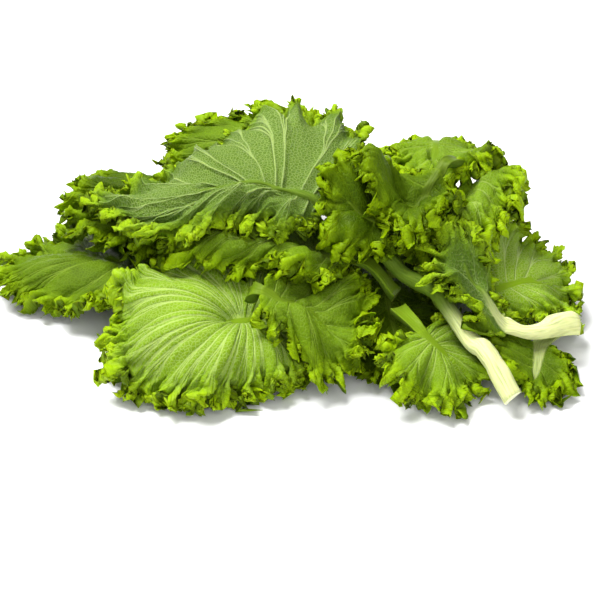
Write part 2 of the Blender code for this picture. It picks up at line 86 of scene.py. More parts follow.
# How near the tip the rays start round the midrib's round end, as a power of their share of the way,
# where along the stalk its hollow is full, and the fewest steps that a stalk has.
RIB_END_POWER = 8
GROOVE_START = 0.3
FEWEST_STALK_STEPS = 3

# The outline of a blade: how full it is between its widest place and its ends, and how
# fast its lobes that reach back die away towards the tip. It is measured in so many steps.
FULLNESS = 0.85
LOBE_FADE = 1.5
OUTLINE_STEPS = 601

# The length of a blade's first rays beside the stalk, how evenly the rays leave the midrib, how far they
# bow back, as a share of the leaf's length, and how much and how often they crowd along the edge.
SHOULDER = 10.0
ROOT_SPREAD = 0.3
BOW = 0.1
CROWDING = 0.018
CROWDS = 3

# Where the edge passes from the left half's width to the right half's, as shares of the way round.
ROUND_TIP = (0.42, 0.58)

# Ruffles: how high one may be as a share of its width, where across the blade they start and are full, how
# far round the edge they grow, and the slow swings in their height, each a share, a rate and a turn by
# seed. Then how flat the top of a leaf's dome is.
HIGHEST_RUFFLE = 0.24
RUFFLE_REACH = (0.45, 1.0)
PLEAT_REACH = (0.05, 0.75)
RUFFLE_ENDS = 0.1
RUFFLE_SWINGS = ((0.35, 9.1, 2.7), (0.2, 23.0, 1.0))
DOME_POWER = 0.8

# How far the ruffles that lie on the ground are pressed
# into it, and how gently a blade turns to lie on it.
GROUND_DIP = 0.8
GROUND_ROUNDING = 3.0

# How one leaf lies on another: the gap between them, how wide the cells of the map of heights are that they
# are laid on, how far apart the places read on a face are, in how many parts its sides are cut for them,
# over how many cells a raise spreads, the most raises and easings of one leaf, and where the map is.
CLEARANCE = 0.5
CELL = 2.5
SAMPLE_SPACING = 1.7
SAMPLE_PARTS = (4, 8, 16, 32, 64)
SPREAD_CELLS = 2
MOST_RAISES = 40
MOST_EASINGS = 30
FIELD_LOW = (-290.0, -230.0)
FIELD_SIZE = (580.0, 460.0)


@dataclass
class Leaf:
    """The driving dimensions of one leaf, in millimetres and degrees.

    The stalk and the midrib each run through a few points. Left and right are as seen along the midrib
    towards the tip, from above. Curls bend each half down, and roll turns the whole blade, at its start
    and at its tip. The midrib carries rays over rib_share of its length, lobes reach back by a share of
    it, and the halves narrow by the share taper towards the tip. The tone runs from 0, a dark green leaf,
    to 1, a yellow-green one: partly the leaf's own age, and partly painted light and shade, dark on
    leaves deep in the heap or low in its gaps and light on leaves that face the light. Pale runs from 0,
    a green stalk, to 1, a cream-coloured one. Beside those of a common leaf, frill says how high its
    frills are and how far in they reach, fold how high the folds between its lateral veins are, and veins
    how close together these are.
    """

    name: str
    stalk: tuple
    midrib: tuple
    half_widths: tuple
    curls: tuple
    roll: tuple = (0.0, 0.0)
    rib_share: float = 0.62
    back: float = 0.0
    widest: float = 1.12
    taper: float = 0.0
    dome: float = 0.0
    pleats: int = 4
    pleat_height: float = 6.0
    waves: int = 14
    wave_height: float = 7.0
    stalk_width: float = 10.0
    seed: float = 0.0
    underside_up: bool = False
    tone: float = 0.5
    pale: float = 0.0
    frill: float = 1.0
    fold: float = 1.0
    veins: float = 1.0


@dataclass
class Grid:
    """The grid of a leaf: rows at shares of the way across the midrib, then across the zones of the blade.
    The columns double from each zone to the next, and outer_columns are those of the third. The stalk has
    a row at each step along it."""

    outer_columns: int
    rib_rows: tuple
    zones: tuple
    stalk_step: float


# The tones below are partly each leaf's own age and partly painted shade and light: leaves deep in the heap
# and in its gaps are given dark tones as painted shade, and leaves that face the light are given light
# ones.
LEAVES = (
    Leaf(
        "leaf_back_left", stalk=((95, 0, 3.8), (50, 25, 7)),
        midrib=((50, 25, 7), (-40, 75, 22), (-120, 100, 10)), half_widths=(75, 60), curls=(30, 50),
        waves=18, seed=1, tone=0.15,
    ),
    Leaf(
        "leaf_back_right", stalk=((120, -60, 8), (90, -10, 12)),
        midrib=((90, -10, 10), (105, 55, 24), (115, 115, 8)), half_widths=(80, 60), curls=(30, 50),
        waves=16, seed=2, tone=0.1,
    ),
    Leaf(
        "leaf_far_left", stalk=((-40, -40, 12), (-100, -10, 30)),
        midrib=((-100, -10, 22), (-165, 12, 33), (-226, 42, 16)), half_widths=(60, 68), curls=(60, 10),
        roll=(20, 12), waves=18, seed=3, tone=0.3, fold=0.6,
    ),
    Leaf(
        "leaf_left_low", stalk=((60, -30, 25), (0, 0, 40)),
        midrib=((0, 0, 40), (-90, 42, 66), (-186, 55, 60)), half_widths=(60, 60), curls=(40, 50),
        waves=20, seed=4, tone=0.1,
    ),
    Leaf(
        "leaf_front_low", stalk=((60, 20, 16), (60, 2, 18)),
        midrib=((62, -14, 18), (70, -66, 20), (76, -120, 6)), half_widths=(46, 46), curls=(40, 40),
        waves=16, pleat_height=4, wave_height=5, seed=19, tone=0.05,
    ),
    Leaf(
        "leaf_front", stalk=((34, -66, 20), (0, -76, 26), (-31, -80, 34)),
        midrib=((-31, -80, 34), (-86, -98, 36), (-140, -108, 14)), half_widths=(66, 86), curls=(30, 50),
        rib_share=0.2, back=0.9, dome=18, pleats=7, pleat_height=5, waves=22, roll=(-16, -12),
        stalk_width=9, seed=5, tone=0.85, frill=1.35, fold=0.45, veins=1.6,
    ),
    Leaf(
        "leaf_front_right", stalk=((72, -78, 44), (80, -92, 44)),
        midrib=((88, -106, 42), (109, -124, 28), (127, -141, 8)), half_widths=(58, 46), curls=(20, 40),
        rib_share=0.4, back=0.5, waves=14, pleats=5, stalk_width=9, seed=6, tone=0.65, veins=1.3,
    ),
    Leaf(
        "leaf_right_low", stalk=((192, -66, 20), (184, -80, 20)),
        midrib=((178, -90, 20), (172, -116, 14), (164, -141, 2)), half_widths=(26, 38), curls=(30, 30),
        waves=12, wave_height=6, pleat_height=3, stalk_width=13, seed=7, tone=0.3, pale=0.35,
    ),
    Leaf(
        "leaf_right", stalk=((100, -84, 38), (116, -74, 40)),
        midrib=((124, -70, 44), (170, -46, 46), (212, -24, 18)), half_widths=(60, 36), curls=(-5, 45),
        roll=(34, 20), waves=18, pleat_height=5, wave_height=6, seed=8, tone=1.0, fold=0.6,
    ),
    Leaf(
        "leaf_front_middle", stalk=((-38, -76, 28), (-33, -80, 34)),
        midrib=((-28, -84, 38), (14, -100, 42), (50, -108, 30)), half_widths=(60, 46), curls=(10, 60),
        roll=(28, 14), pleats=5, waves=14, stalk_width=7.5, seed=9, tone=0.4,
    ),
    Leaf(
        "leaf_middle", stalk=((72, -64, 46), (52, -54, 52)),
        midrib=((40, -50, 55), (-30, -30, 75), (-100, -5, 60)), half_widths=(48, 42), curls=(80, 30),
        pleat_height=5, wave_height=6, waves=16, seed=10, tone=0.45,
    ),
    Leaf(
        "leaf_back", stalk=((66, 30, 50), (50, 46, 56)),
        midrib=((34, 60, 62), (-32, 98, 84), (-108, 98, 66)), half_widths=(36, 46), curls=(10, 14),
        roll=(-20, -16), waves=20, seed=11, tone=0.3,
    ),
    Leaf(
        "leaf_back_middle", stalk=((72, -40, 52), (66, -18, 58)),
        midrib=((62, 0, 64), (56, 34, 80), (50, 68, 86)), half_widths=(36, 36), curls=(50, 50),
        waves=14, seed=20, tone=0.15,
    ),
    Leaf(
        "leaf_right_back", stalk=((116, -30, 38), (113, -14, 40)),
        midrib=((112, 0, 42), (134, 34, 46), (148, 60, 30)), half_widths=(34, 34), curls=(50, 50),
        pleat_height=4, wave_height=5, seed=18, tone=0.1,
    ),
    Leaf(
        "leaf_right_high", stalk=((146, 62, 48), (141, 54, 58)),
        midrib=((135, 44, 70), (122, -6, 70), (104, -46, 56)), half_widths=(42, 50), curls=(40, 40),
        back=0.4, waves=16, stalk_width=7.5, seed=15, tone=0.65, frill=1.35,
    ),
    Leaf(
        "leaf_back_high", stalk=((113, 98, 72), (111, 90, 84)),
        midrib=((108, 80, 98), (104, 44, 108), (98, 6, 88)), half_widths=(50, 38), curls=(40, 50),
        back=0.2, waves=16, stalk_width=7.5, seed=12, tone=0.55, frill=1.35,
    ),
    Leaf(
        "leaf_top", stalk=((152, -150, 12), (118, -107, 38), (70, -56, 64), (20, -34, 98)),
        midrib=((20, -34, 98), (-33, -20, 108), (-98, -6, 100), (-160, 38, 66)), half_widths=(66, 150),
        curls=(40, 105), roll=(-52, -10), widest=0.72, taper=0.62, pleats=6, waves=22, stalk_width=10.5,
        seed=14, rib_share=0.45, underside_up=True, tone=0.6, pale=1.0, fold=0.4, veins=0.7,
    ),
    Leaf(
        "leaf_right_mid", stalk=((204, -78, 26), (178, -88, 28)),
        midrib=((150, -97, 34), (128, -78, 46), (104, -50, 54)), half_widths=(34, 18), curls=(50, 40),
        waves=12, pleat_height=3, wave_height=4, stalk_width=11, seed=13, underside_up=True, tone=0.5,
        pale=1.0, fold=0.4,
    ),
    Leaf(
        "leaf_centre_low", stalk=((90, -30, 60), (80, -33, 61)),
        midrib=((70, -36, 62), (44, -40, 64), (14, -38, 62)), half_widths=(28, 30), curls=(50, 30),
        back=0.2, waves=12, pleat_height=4, wave_height=5, stalk_width=8, seed=17, tone=0.1,
    ),
    Leaf(
        "leaf_centre", stalk=((120, 18, 70), (112, 9, 75)),
        midrib=((104, 0, 80), (82, -24, 84), (56, -52, 68)), half_widths=(40, 38), curls=(50, 50),
        waves=16, stalk_width=8, seed=16, tone=0.15,
    ),
)


# The solids' own grid, for laying the leaves as the solids lie: its rows across the midrib
# and in each zone of the blade, its steps along the stalk, and its outer columns for each
# ruffle. Then how near the box of a laid leaf has to be to its solid's in the frame.
SOLID_RIB_ROWS = (0.0, 0.62, 1.0)
SOLID_INNER_ROWS = (0.28, 0.52)
SOLID_MIDDLE_ROWS = (0.72,)
SOLID_OUTER_ROWS = (0.87, 1.0)
SOLID_STALK_STEP = 18.0
SAMPLES_PER_WAVE = 4
SOLID_FIT = 0.5

# The fine grid: columns for each tooth in the third zone, with twice as many in the
# fourth, rows across the midrib, the greatest distance between rows in each zone of
# the blade, from the midrib out, and along the stalk, and where the zones end.
TOOTH_COLUMNS = 4
FINE_RIB_ROWS = (0.0, 0.3, 0.6, 0.85, 1.0)
ZONE_STEPS = (2.8, 2.1, 1.6, 1.2)
ZONES = (0.5, 0.7, 0.84, 1.0)
FINE_STALK_STEP = 3.0

# How strongly the fine columns crowd at the lateral veins, and where they spread evenly again.
VEIN_CROWDING = 0.6
EVEN_COLUMNS = (0.55, 0.85)

# The frilled edge. How far in from it the frills with their crinkles, the crimps between them, the lean of
# the frills, the teeth and the lobes reach.
FRILL_REACH = 22.0
CRIMP_REACH = 12.0
LEAN_REACH = 11.0
TOOTH_REACH = 5.0
LOBE_REACH = 12.0

# How far the frills and crimps lean, as a share of their spacing. How far the edge winds in and out, as a
# share of the frills' height, and how that wanders along it. How many radians the frills turn to and fro
# on their way inwards, and over what length.
LEAN = 0.05
SWAY = 0.8
SWAY_TURN = (0.9, 0.23)
TWIST = (1.2, 2.6)

# How the frills' spacing and height wander, by shares, rates and turns,
# how many crimps go to a frill and how their spacing wanders, how wide a
# crinkle is, and what share of the edge is without frills at each end.
FRILL_WANDER = ((1.2, 0.31), (0.9, 0.13))
FRILL_SWINGS = ((0.3, 0.17, 3), (0.25, 0.43, 1))
CRIMP_RATE = 2.9
CRIMP_WANDER = (1.1, 0.37)
CRINKLE_SIZE = 6.5
FRILL_ENDS = 0.035

# Teeth are the sharper the greater TOOTH_POWER is. A lobe has so many teeth, and is so long beside one.
TOOTH_POWER = 1.5
LOBE_TEETH = 4
LOBE_LENGTH = 1.9

# Each side of a leaf has so many lateral veins or more. They fork on their way out:
# where the first and the second fork begin and end, as shares of the way to the edge,
# and how far apart their branches grow, as shares of the distance between veins.
FEWEST_VEINS = 4
FORKS = ((0.22, 0.85, 0.25), (0.55, 1.0, 0.12))

# A vein ridge's half width at the midrib and at the edge, how much of its height is
# gone at the edge, and how deep the groove above it is. How unevenly the veins are
# spaced, as a share and a rate, how far and over what size they wander, as a share
# of their spacing, and the share of the way to the edge where they wander fully.
VEIN_HALF_WIDTH = (1.1, 0.5)
VEIN_TAPER = 0.8
VEIN_GROOVE = 0.35
VEIN_UNEVEN = (0.28, 2.3)
VEIN_WANDER = 0.04
WANDER_SIZE = 55.0
WANDER_FROM = 0.3

# How far from a vein the blisters are full, the shares of bumps on their pillows and everywhere, and how
# bumps wind, by turns and rates. The widest gap between veins.
BLISTER_RISE = 4.0
BLISTER_BUMPS = (0.5, 0.3)
BUMP_WINDING = ((1.7, 0.7), (1.3, 0.9))
VEIN_GAPS = 60.0

# The folds between the veins: how high they are beside their width, the widest that counts, how flat their
# tops are, how far in from the edge they fade, and how their height swings from one to the next.
FOLD_RISE = 0.11
FOLD_WIDTH = 22.0
FOLD_ROUNDING = 0.35
FOLD_FADE = 10.0
FOLD_SWING = 0.6
FOLD_RATE = 1.7

# How much thinner the blade is at its edge and how far in that starts. How far
# past the midrib its colour fades, and from what share of the way across it. The
# ridges along the stalk's round side, their height and number, and over what share
# of the stalk they start. A rim face this near the cut end belongs to the cut.
EDGE_THINNING = 0.5
THIN_EDGE = 12.0
RIB_BLUR = 3.0
RIB_FADE = 0.8
STALK_RIDGE = 0.25
STALK_RIDGES = 7
RIDGE_START = 0.2
CUT_DEPTH = 0.1

# What the material reads: marks that differ over a leaf, and those that are one number for each leaf.
# The crest mark, how high a frill stands, places painted light on the frills' crests and painted shade
# in their hollows, and the tone mark holds painted shade as well as a leaf's age.
MARKS = ("vein_phase", "vein_gap", "outward", "inward", "rib", "to_cut", "crest")
LEAF_MARKS = ("tone", "pale")

# Leaf colour, in metres: how wide its patches are, and
# how far the net is drawn out of shape, and over what.
PATCH_SIZE = 0.035
DRIFT_SIZE = 0.016
NET_DRIFT = 0.002
FINE_NET = 0.45

# The drawn veins' half widths at the midrib and the edge, in millimetres, where their colour starts and
# stops to fade, as shares of these, and where a net line's colour is gone, as a share of a cell's width.
VEIN_SHOWN = (0.5, 0.3)
VEIN_SOFTNESS = (0.4, 1.9)
NET_LINE = 0.22

# By side of the leaf: how strongly the fine net, the net and the veins show, how far they stand out, in
# millimetres, and the least and greatest roughness. Then how high the net and the fine net are beside the
# veins, and between which values of the noise the roughness changes.
VEIN_SHARES = {"upper": (0.15, 0.35, 0.65), "under": (0.25, 0.5, 0.75)}
RELIEF = {"upper": 0.5, "under": 0.7}
ROUGHNESS = {"upper": (0.32, 0.5), "under": (0.5, 0.7)}
NET_HEIGHT = 0.5
FINE_NET_HEIGHT = 0.2
DULL_PATCHES = (0.3, 0.7)

# How much a leaf's tone varies over it. How far the edge's colour reaches in, how strongly, and the share
# of that left on the darkest leaves, and the tone from which it is whole. The share of the veins' strength
# left on the darkest leaves and at the edge, and between which distances from the edge it grows. The
# darkest leaves are old ones and those painted dark as shade deep in the heap. Then how much painted light
# the frills' crests get and how much painted shade their hollows get.
PATCHINESS = 0.9
EDGE_COLOUR_REACH = 22.0
EDGE_SHARE = 0.75
EDGE_ON_DARK_LEAVES = 0.5
FULL_EDGE_FROM_TONE = 0.8
VEINS_ON_DARK_LEAVES = 0.2
VEINS_AT_EDGE = 0.1
VEIN_FADE = (8.0, 40.0)
PAINTED_CREST_LIGHT = 0.3
PAINTED_HOLLOW_SHADE = 0.5

# Stalks: how far from the cut end they are pale, in millimetres, how much of their own green the midribs
# have, between which values of the fibres' noise the green and the pale colour fade, and between which
# marks the midrib's colour gives way to the blade's. Then the size of the fibres, in metres.
PALE_REACH = (50.0, 85.0)
RIB_SHARE = 0.45
GREEN_FIBRES = (0.35, 0.75)
PALE_FIBRES = (0.45, 1.1)
RIB_EDGE = (0.2, 0.7)
FIBRE_LENGTH = 0.016
FIBRE_WIDTH = 0.0011
FIBRE_END_SPACING = 0.0016

# The wax on a leaf reflects little, and yellow-green. Light goes into the
# flesh of a leaf and of a cut stalk, the furthest in the colours that it has:
# the share that does, and how far in each colour, beside a depth in metres.
WAX_SHINE = 0.1
WAX_TINT = "#faffc4"
LEAF_GLOW = (0.25, (0.7, 1.0, 0.08))
CUT_GLOW = (0.2, (1.0, 1.0, 0.5))
GLOW_DEPTH = 0.002

# The cut face: where its dots fade, as shares of their spacing, its roughness, and how far they stand out.
DOT_EDGE = (0.15, 0.45)
CUT_ROUGHNESS = 0.35
CUT_RELIEF = 0.3
CUT_RELIEF_STRENGTH = 0.4

# The fine leaves stay this far off the ground. They are raised over
# each other to leave a gap, in so many steps and by so much at most.
FLOOR_SKIN = 0.8
FINE_CLEARANCE = 0.3
FINE_RAISES = 12
MOST_LIFT = 5.0


def ease(x, low, high):
    """A smooth step from 0 at low to 1 at high."""
    s = np.clip((np.asarray(x, float) - low) / (high - low), 0, 1)
    return s * s * (3 - 2 * s)


def ends(t, share):
    """1 along the edge, falling smoothly to 0 over a share of it at each end."""
    return ease(t, 0, share) * ease(1 - t, 0, share)


def swings(x, seed, table):
    """1 and slow swings about it: a sine for each share, rate and turn by seed."""
    return 1 + sum(share * np.sin(rate * x + turn * seed) for share, rate, turn in table)


def curve_through(points, per_span=24):
    """A smooth curve through the points: Catmull-Rom spans between mirrored end points."""
    p = np.array(points, float)
    p = np.vstack([2 * p[0] - p[1], p, 2 * p[-1] - p[-2]])
    t = np.linspace(0, 1, per_span, endpoint=False)[:, None]
    spans = [
        0.5 * (2 * b + (c - a) * t + (2 * a - 5 * b + 4 * c - d) * t**2 + (3 * b - a - 3 * c + d) * t**3)
        for a, b, c, d in zip(p, p[1:], p[2:], p[3:])
    ]
    return np.vstack([*spans, p[-2:-1]])


class Spine:
    """The stalk and midrib of a leaf as one line, by the distance along it from where the blade starts."""

    def __init__(self, leaf):
        whole = curve_through(leaf.stalk[:-1] + leaf.midrib)
        steps = np.linalg.norm(np.diff(whole, axis=0), axis=1)
        along = np.concatenate([[0], np.cumsum(steps)])
        start = np.argmin(np.linalg.norm(whole - np.array(leaf.midrib[0], float), axis=1))
        self.along = along - along[start]
        self.points = whole
        self.length = self.along[-1]
        self.stalk_length = -self.along[0]
        forward = np.gradient(whole, self.along, axis=0)
        self.forward = forward / np.linalg.norm(forward, axis=1)[:, None]
        up = np.array([0.0, 0.0, 1.0]) - self.forward[:, 2:] * self.forward
        up /= np.linalg.norm(up, axis=1)[:, None]
        side = np.cross(up, self.forward)
        roll = leaf.roll[0] + (leaf.roll[1] - leaf.roll[0]) * ease(self.along, 0, self.length)
        turn = np.radians(roll)[:, None]
        self.side = side * np.cos(turn) + up * np.sin(turn)
        self.up = up * np.cos(turn) - side * np.sin(turn)

    def at(self, values, a):
        """One of the spine's rows of vectors at distances a. Past its ends the last vector stays."""
        return np.stack([np.interp(a, self.along, values[:, i]) for i in range(3)], -1)

    def place(self, a, blade=True):
        """Points at distances a. The blade's lobes reach behind its start along a straight line."""
        inside = np.clip(a, 0.0 if blade else self.along[0], self.length)
        return self.at(self.points, inside) + (a - inside)[..., None] * self.at(self.forward, inside)


class Blade:
    """The flat drawing of a leaf's blade: rays that leave the midrib and end on the edge."""

    def __init__(self, leaf, spine):
        self.leaf = leaf
        self.length = spine.length
        v = np.linspace(0, 1, OUTLINE_STEPS)
        a, b = self.edge(v, np.full_like(v, np.mean(leaf.half_widths)))
        start = np.argmax(np.hypot(a, b - leaf.stalk_width / 2) >= SHOULDER)
        v, a, b = v[start:], a[start:], b[start:]
        run = np.concatenate([[0], np.cumsum(np.hypot(np.diff(a), np.diff(b)))])
        self.v, self.run = v, run / run[-1]
        self.edge_length = 2 * run[-1]
        self.ruffle_height = min(leaf.wave_height, HIGHEST_RUFFLE * self.edge_length / leaf.waves)

    def edge(self, v, half_width):
        """The edge from the blade's start, v = 0, to its tip, v = 1: a long oval, widest towards the tip,
        whose lobes may reach back behind the start."""
        leaf = self.leaf
        swell = np.sin(math.pi * v**leaf.widest)
        lobe = leaf.back * np.sin(math.pi * v) * (1 - v) ** LOBE_FADE
        a = self.length * ((1 - np.cos(math.pi * v)) / 2 - lobe)
        half_width = half_width * (1 - leaf.taper * v) * np.abs(swell) ** FULLNESS
        return a, leaf.stalk_width / 2 * (1 - v) + half_width

    def rays(self, t):
        """Where each column's ray starts and ends. t runs from 0 at the left of the blade's start, past
        0.5 at its tip, to 1 at the right. The columns crowd and spread a little, the same on both
        sides."""
        share = 1 - np.abs(2 * t - 1)
        crowd = np.sin(2 * math.pi * CROWDS * share + self.leaf.seed) * np.sin(math.pi * share)
        share = share + CROWDING * crowd
        v = np.interp(share, self.run, self.v)
        left, right = self.leaf.half_widths
        turn = ease(t, *ROUND_TIP)
        a_edge, b_edge = self.edge(v, left * (1 - turn) + right * turn)
        b_edge = np.where(np.abs(t - 0.5) < 1e-9, 0.0, b_edge)
        side = np.where(t <= 0.5, 1.0, -1.0)
        root = ROOT_SPREAD * share + (1 - ROOT_SPREAD) * (v - self.v[0]) / (1 - self.v[0])
        a_root = self.leaf.rib_share * self.length * root
        return v, side, a_root, a_edge, b_edge * side

    def rib_half_width(self, a):
        narrowed = (1 - RIB_TIP_WIDTH) * np.clip(a / self.length, 0, 1) ** RIB_NARROWING
        return self.leaf.stalk_width / 2 * (1 - narrowed)


def relief(leaf, t, y, ruffle_height):
    """How far the blade stands off its smooth form, at column t and share y of the way to the edge: a
    dome, the sine of a power of y, with broad pleats along the rays, a cosine of t, then the edge's
    ruffles, a faster cosine of t that grows towards the edge, and how high these may stand there."""
    inside = ends(t, RUFFLE_ENDS)
    dome = leaf.dome * np.sin(math.pi * np.clip(y, 0, 1) ** DOME_POWER)
    pleat = leaf.pleat_height * ease(y, *PLEAT_REACH) * np.cos(2 * math.pi * leaf.pleats * t + leaf.seed)
    height = inside * swings(t, leaf.seed, RUFFLE_SWINGS) * ruffle_height * ease(y, *RUFFLE_REACH)
    return dome + inside * pleat, height * np.cos(2 * math.pi * leaf.waves * t), height


def bend(leaf, spine, a, b, lift):
    """Flat place (a, b) on the bent leaf: round an arc to each side of the midrib, then lift off it. Gives
    the arc's normal there too."""
    left = np.asarray(b) >= 0
    half_width = np.where(left, *leaf.half_widths)
    rate = np.radians(np.where(left, *leaf.curls)) / half_width
    rate = np.where(np.abs(rate) < 1e-6, 1e-6, rate)
    angle = rate * np.abs(b)
    out = (np.sin(angle) / rate * np.sign(b))[..., None]
    down = ((1 - np.cos(angle)) / rate)[..., None]
    start = np.clip(a, 0, spine.length)
    side, up = spine.at(spine.side, start), spine.at(spine.up, start)
    normal = up * np.cos(angle)[..., None] + side * (np.sin(angle) * np.sign(b))[..., None]
    return spine.place(a) + side * out - up * down + normal * np.asarray(lift)[..., None], normal


def off_ground(z, reserve, rounding=GROUND_ROUNDING):
    """Heights raised smoothly to stand at least a reserve above the ground: half the sum of what is left
    above it and that amount's size, rounded where it is near nothing."""
    left = z - reserve
    return reserve + (left + np.sqrt(left**2 + rounding**2)) / 2


class Sheet:
    """A leaf's middle surface: named values at its points, such as their places and how far the leaf is
    thick above and below them, the triangles between them, and the rows that they stand in."""

    def __init__(self):
        self.lists, self.triangles, self.count = {}, [], 0

    def add(self, values):
        """Adds a row of points. Each value is an array with one entry for each point, or one for all."""
        size = len(values["points"])
        for name, value in values.items():
            value = np.asarray(value, float)
            whole = value if len(value.shape) and len(value) == size else np.full(size, value)
            self.lists.setdefault(name, []).append(whole)
        self.count += size
        return np.arange(self.count - size, self.count)

    def strip(self, inner, outer):
        """Triangles between two rows of columns. The outer row has as many columns, or twice as many."""
        columns = len(inner) - 1
        a, b = inner[:-1], inner[1:]
        if len(outer) == len(inner):
            c, d = outer[1:], outer[:-1]
            one = np.stack([a, b, c, a, c, d], 1)
            other = np.stack([a, b, d, b, c, d], 1)
            made = np.where(((np.arange(columns) + columns // 2) % 2 == 1)[:, None], other, one)
        else:
            c, middle, d = outer[:-2:2], outer[1:-1:2], outer[2::2]
            made = np.stack([a, middle, c, a, b, middle, b, d, middle], 1)
        self.triangles.append(made.reshape(-1, 3))

    def close(self):
        """Joins the rows. Triangles that the midrib's shared points have made empty are left out."""
        faces = np.concatenate(self.triangles)
        a, b, c = faces.T
        self.faces = faces[(a != b) & (b != c) & (c != a)]
        for name, rows in self.lists.items():
            setattr(self, name, np.concatenate(rows))
        return self


def drawn(leaf, spine, blade, t, y, rib):
    """The leaf's bent middle surface at columns t, share y of the way to the edge, and share rib of the
    way across the midrib, which is 1 all over the blade. Gives the points, their flat places a and b, how
    far round the edge the column ends, where on the midrib it starts, and its length."""
    v, side, a_root, a_edge, b_edge = blade.rays(t)
    half_width = blade.rib_half_width(a_root) * rib
    a_rib = a_root + half_width * v**RIB_END_POWER
    b_rib = side * half_width * np.sqrt(1 - v ** (2 * RIB_END_POWER))
    a = a_rib + (a_edge - a_rib) * y - BOW * spine.length * np.sin(math.pi * v) * y * (1 - y)
    b = b_rib + (b_edge - b_rib) * y
    ray = np.hypot(a_edge - a_rib, b_edge - b_rib)
    broad, ruffle, height = relief(leaf, t, y, blade.ruffle_height)
    points, normal = bend(leaf, spine, a, b, broad)
    points[:, 2] = off_ground(points[:, 2], height * np.abs(normal[:, 2]) - GROUND_DIP)
    return points + normal * ruffle[:, None], a, b, v, a_root, ray


def rib_depth(v, row):
    """How far the midrib stands out at share row of the way across it: round, and thinner towards its
    tip."""
    return RIB_DEPTH * (1 - (1 - RIB_TIP_DEPTH) * v) * math.sqrt(1 - row * row)


def stalk_half_width(leaf, share):
    """Half the stalk's width at a share of the way to its cut end."""
    return leaf.stalk_width / 2 * (1 + STALK_FLARE * share)


def solid_row(leaf, spine, blade, columns, row, in_rib):
    """One row of the plain blade, from the left of its start round the tip to the right."""
    t = np.linspace(0, 1, columns + 1)
    y, rib = (0.0, row) if in_rib else (row, 1.0)
    points, _, _, v, a_root, _ = drawn(leaf, spine, blade, t, y, rib)
    depth = rib_depth(v, row) if in_rib else 0 * t
    up = spine.at(spine.up, a_root) if in_rib else np.zeros_like(points)
    return {"points": points, "above": BLADE / 2, "below": BLADE / 2 + depth, "up": up}


def stalk_row(leaf, spine, share, across):
    """One row of the plain stalk, from its left to its right: grooved above and round below."""
    a = np.full(len(across), -spine.stalk_length * share)
    half_width = stalk_half_width(leaf, share)
    depth = (RIB_DEPTH + (STALK_DEPTH - RIB_DEPTH) * share) * np.sqrt(1 - across**2)
    groove = -GROOVE if leaf.underside_up else GROOVE
    raised = groove * across**2 * ease(share, 0, GROOVE_START)
    side, up = spine.at(spine.side, a), spine.at(spine.up, a)
    points = spine.place(a, blade=False) + side * (across * half_width)[:, None] + up * raised[:, None]
    return {"points": points, "above": BLADE / 2, "below": BLADE / 2 + depth, "up": up}


def sheet_of(leaf, spine, grid, make_blade_row, make_stalk_row):
    """The blade's rows from the midrib to the edge, then the stalk's rows to its cut end. A leaf that lies
    with its underside up is thick above its middle surface instead of below."""
    sheet = Sheet()
    inner = grid.outer_columns // 4
    middle = make_blade_row(inner, 0.0, True)
    half = inner // 2 + 1
    ids = sheet.add({name: value[:half] if np.ndim(value) else value for name, value in middle.items()})
    rows = [np.concatenate([ids, ids[-2::-1]])]
    for row in grid.rib_rows[1:]:
        rows.append(sheet.add(make_blade_row(inner, row, True)))
    stalk_ends = [ids[0] for ids in rows[::-1]] + [ids[-1] for ids in rows[1:]]
    for doublings, shares in enumerate(grid.zones):
        for row in shares:
            rows.append(sheet.add(make_blade_row(inner * 2**doublings, row, False)))
    for inside, outside in zip(rows, rows[1:]):
        sheet.strip(inside, outside)
    across = np.array(grid.rib_rows[::-1] + tuple(-x for x in grid.rib_rows[1:]))
    steps = max(FEWEST_STALK_STEPS, round(spine.stalk_length / grid.stalk_step))
    stations = [np.array(stalk_ends)]
    for i in range(1, steps + 1):
        stations.append(sheet.add(make_stalk_row(i / steps, across)))
        sheet.strip(stations[-1], stations[-2])
    sheet.rows, sheet.stations = rows, stations
    sheet.close()
    if leaf.underside_up:
        sheet.above, sheet.below = sheet.below, sheet.above
    return sheet


def point_normals(points, faces):
    """The unit normal at each point, from the faces that meet there."""
    a, b, c = (points[faces[:, i]] for i in range(3))
    flat = np.cross(b - a, c - a)
    normals = np.zeros_like(points)
    for i in range(3):
        np.add.at(normals, faces[:, i], flat)
    return normals / np.maximum(np.linalg.norm(normals, axis=1), 1e-9)[:, None]


def rim_of(faces):
    """The edges that only one triangle has, in the order that it has them."""
    edges = np.concatenate([faces[:, [0, 1]], faces[:, [1, 2]], faces[:, [2, 0]]])
    keys = np.sort(edges, axis=1)
    _, index, times = np.unique(keys, axis=0, return_inverse=True, return_counts=True)
    return edges[times[index.reshape(-1)] == 1]


def thicken(points, above, below, up, faces, thinnest=THINNEST * BLADE):
    """The closed solid of a sheet: its upper and lower faces, alike, and the rim between them. What would
    go through the ground lies flat on it."""
    normals = point_normals(points, faces) + UPRIGHT * up
    normals /= np.linalg.norm(normals, axis=1)[:, None]
    top = points + normals * above[:, None]
    bottom = points - normals * below[:, None]
    bottom[:, 2] = np.maximum(bottom[:, 2], 0.0)
    top[:, 2] = np.maximum(top[:, 2], bottom[:, 2] + thinnest)
    count = len(points)
    rim = rim_of(faces)
    sides = np.concatenate(
        [
            np.stack([rim[:, 1], rim[:, 0], rim[:, 0] + count], 1),
            np.stack([rim[:, 1], rim[:, 0] + count, rim[:, 1] + count], 1),
        ]
    )
    return np.vstack([top, bottom]), np.concatenate([faces, faces[:, ::-1] + count, sides])


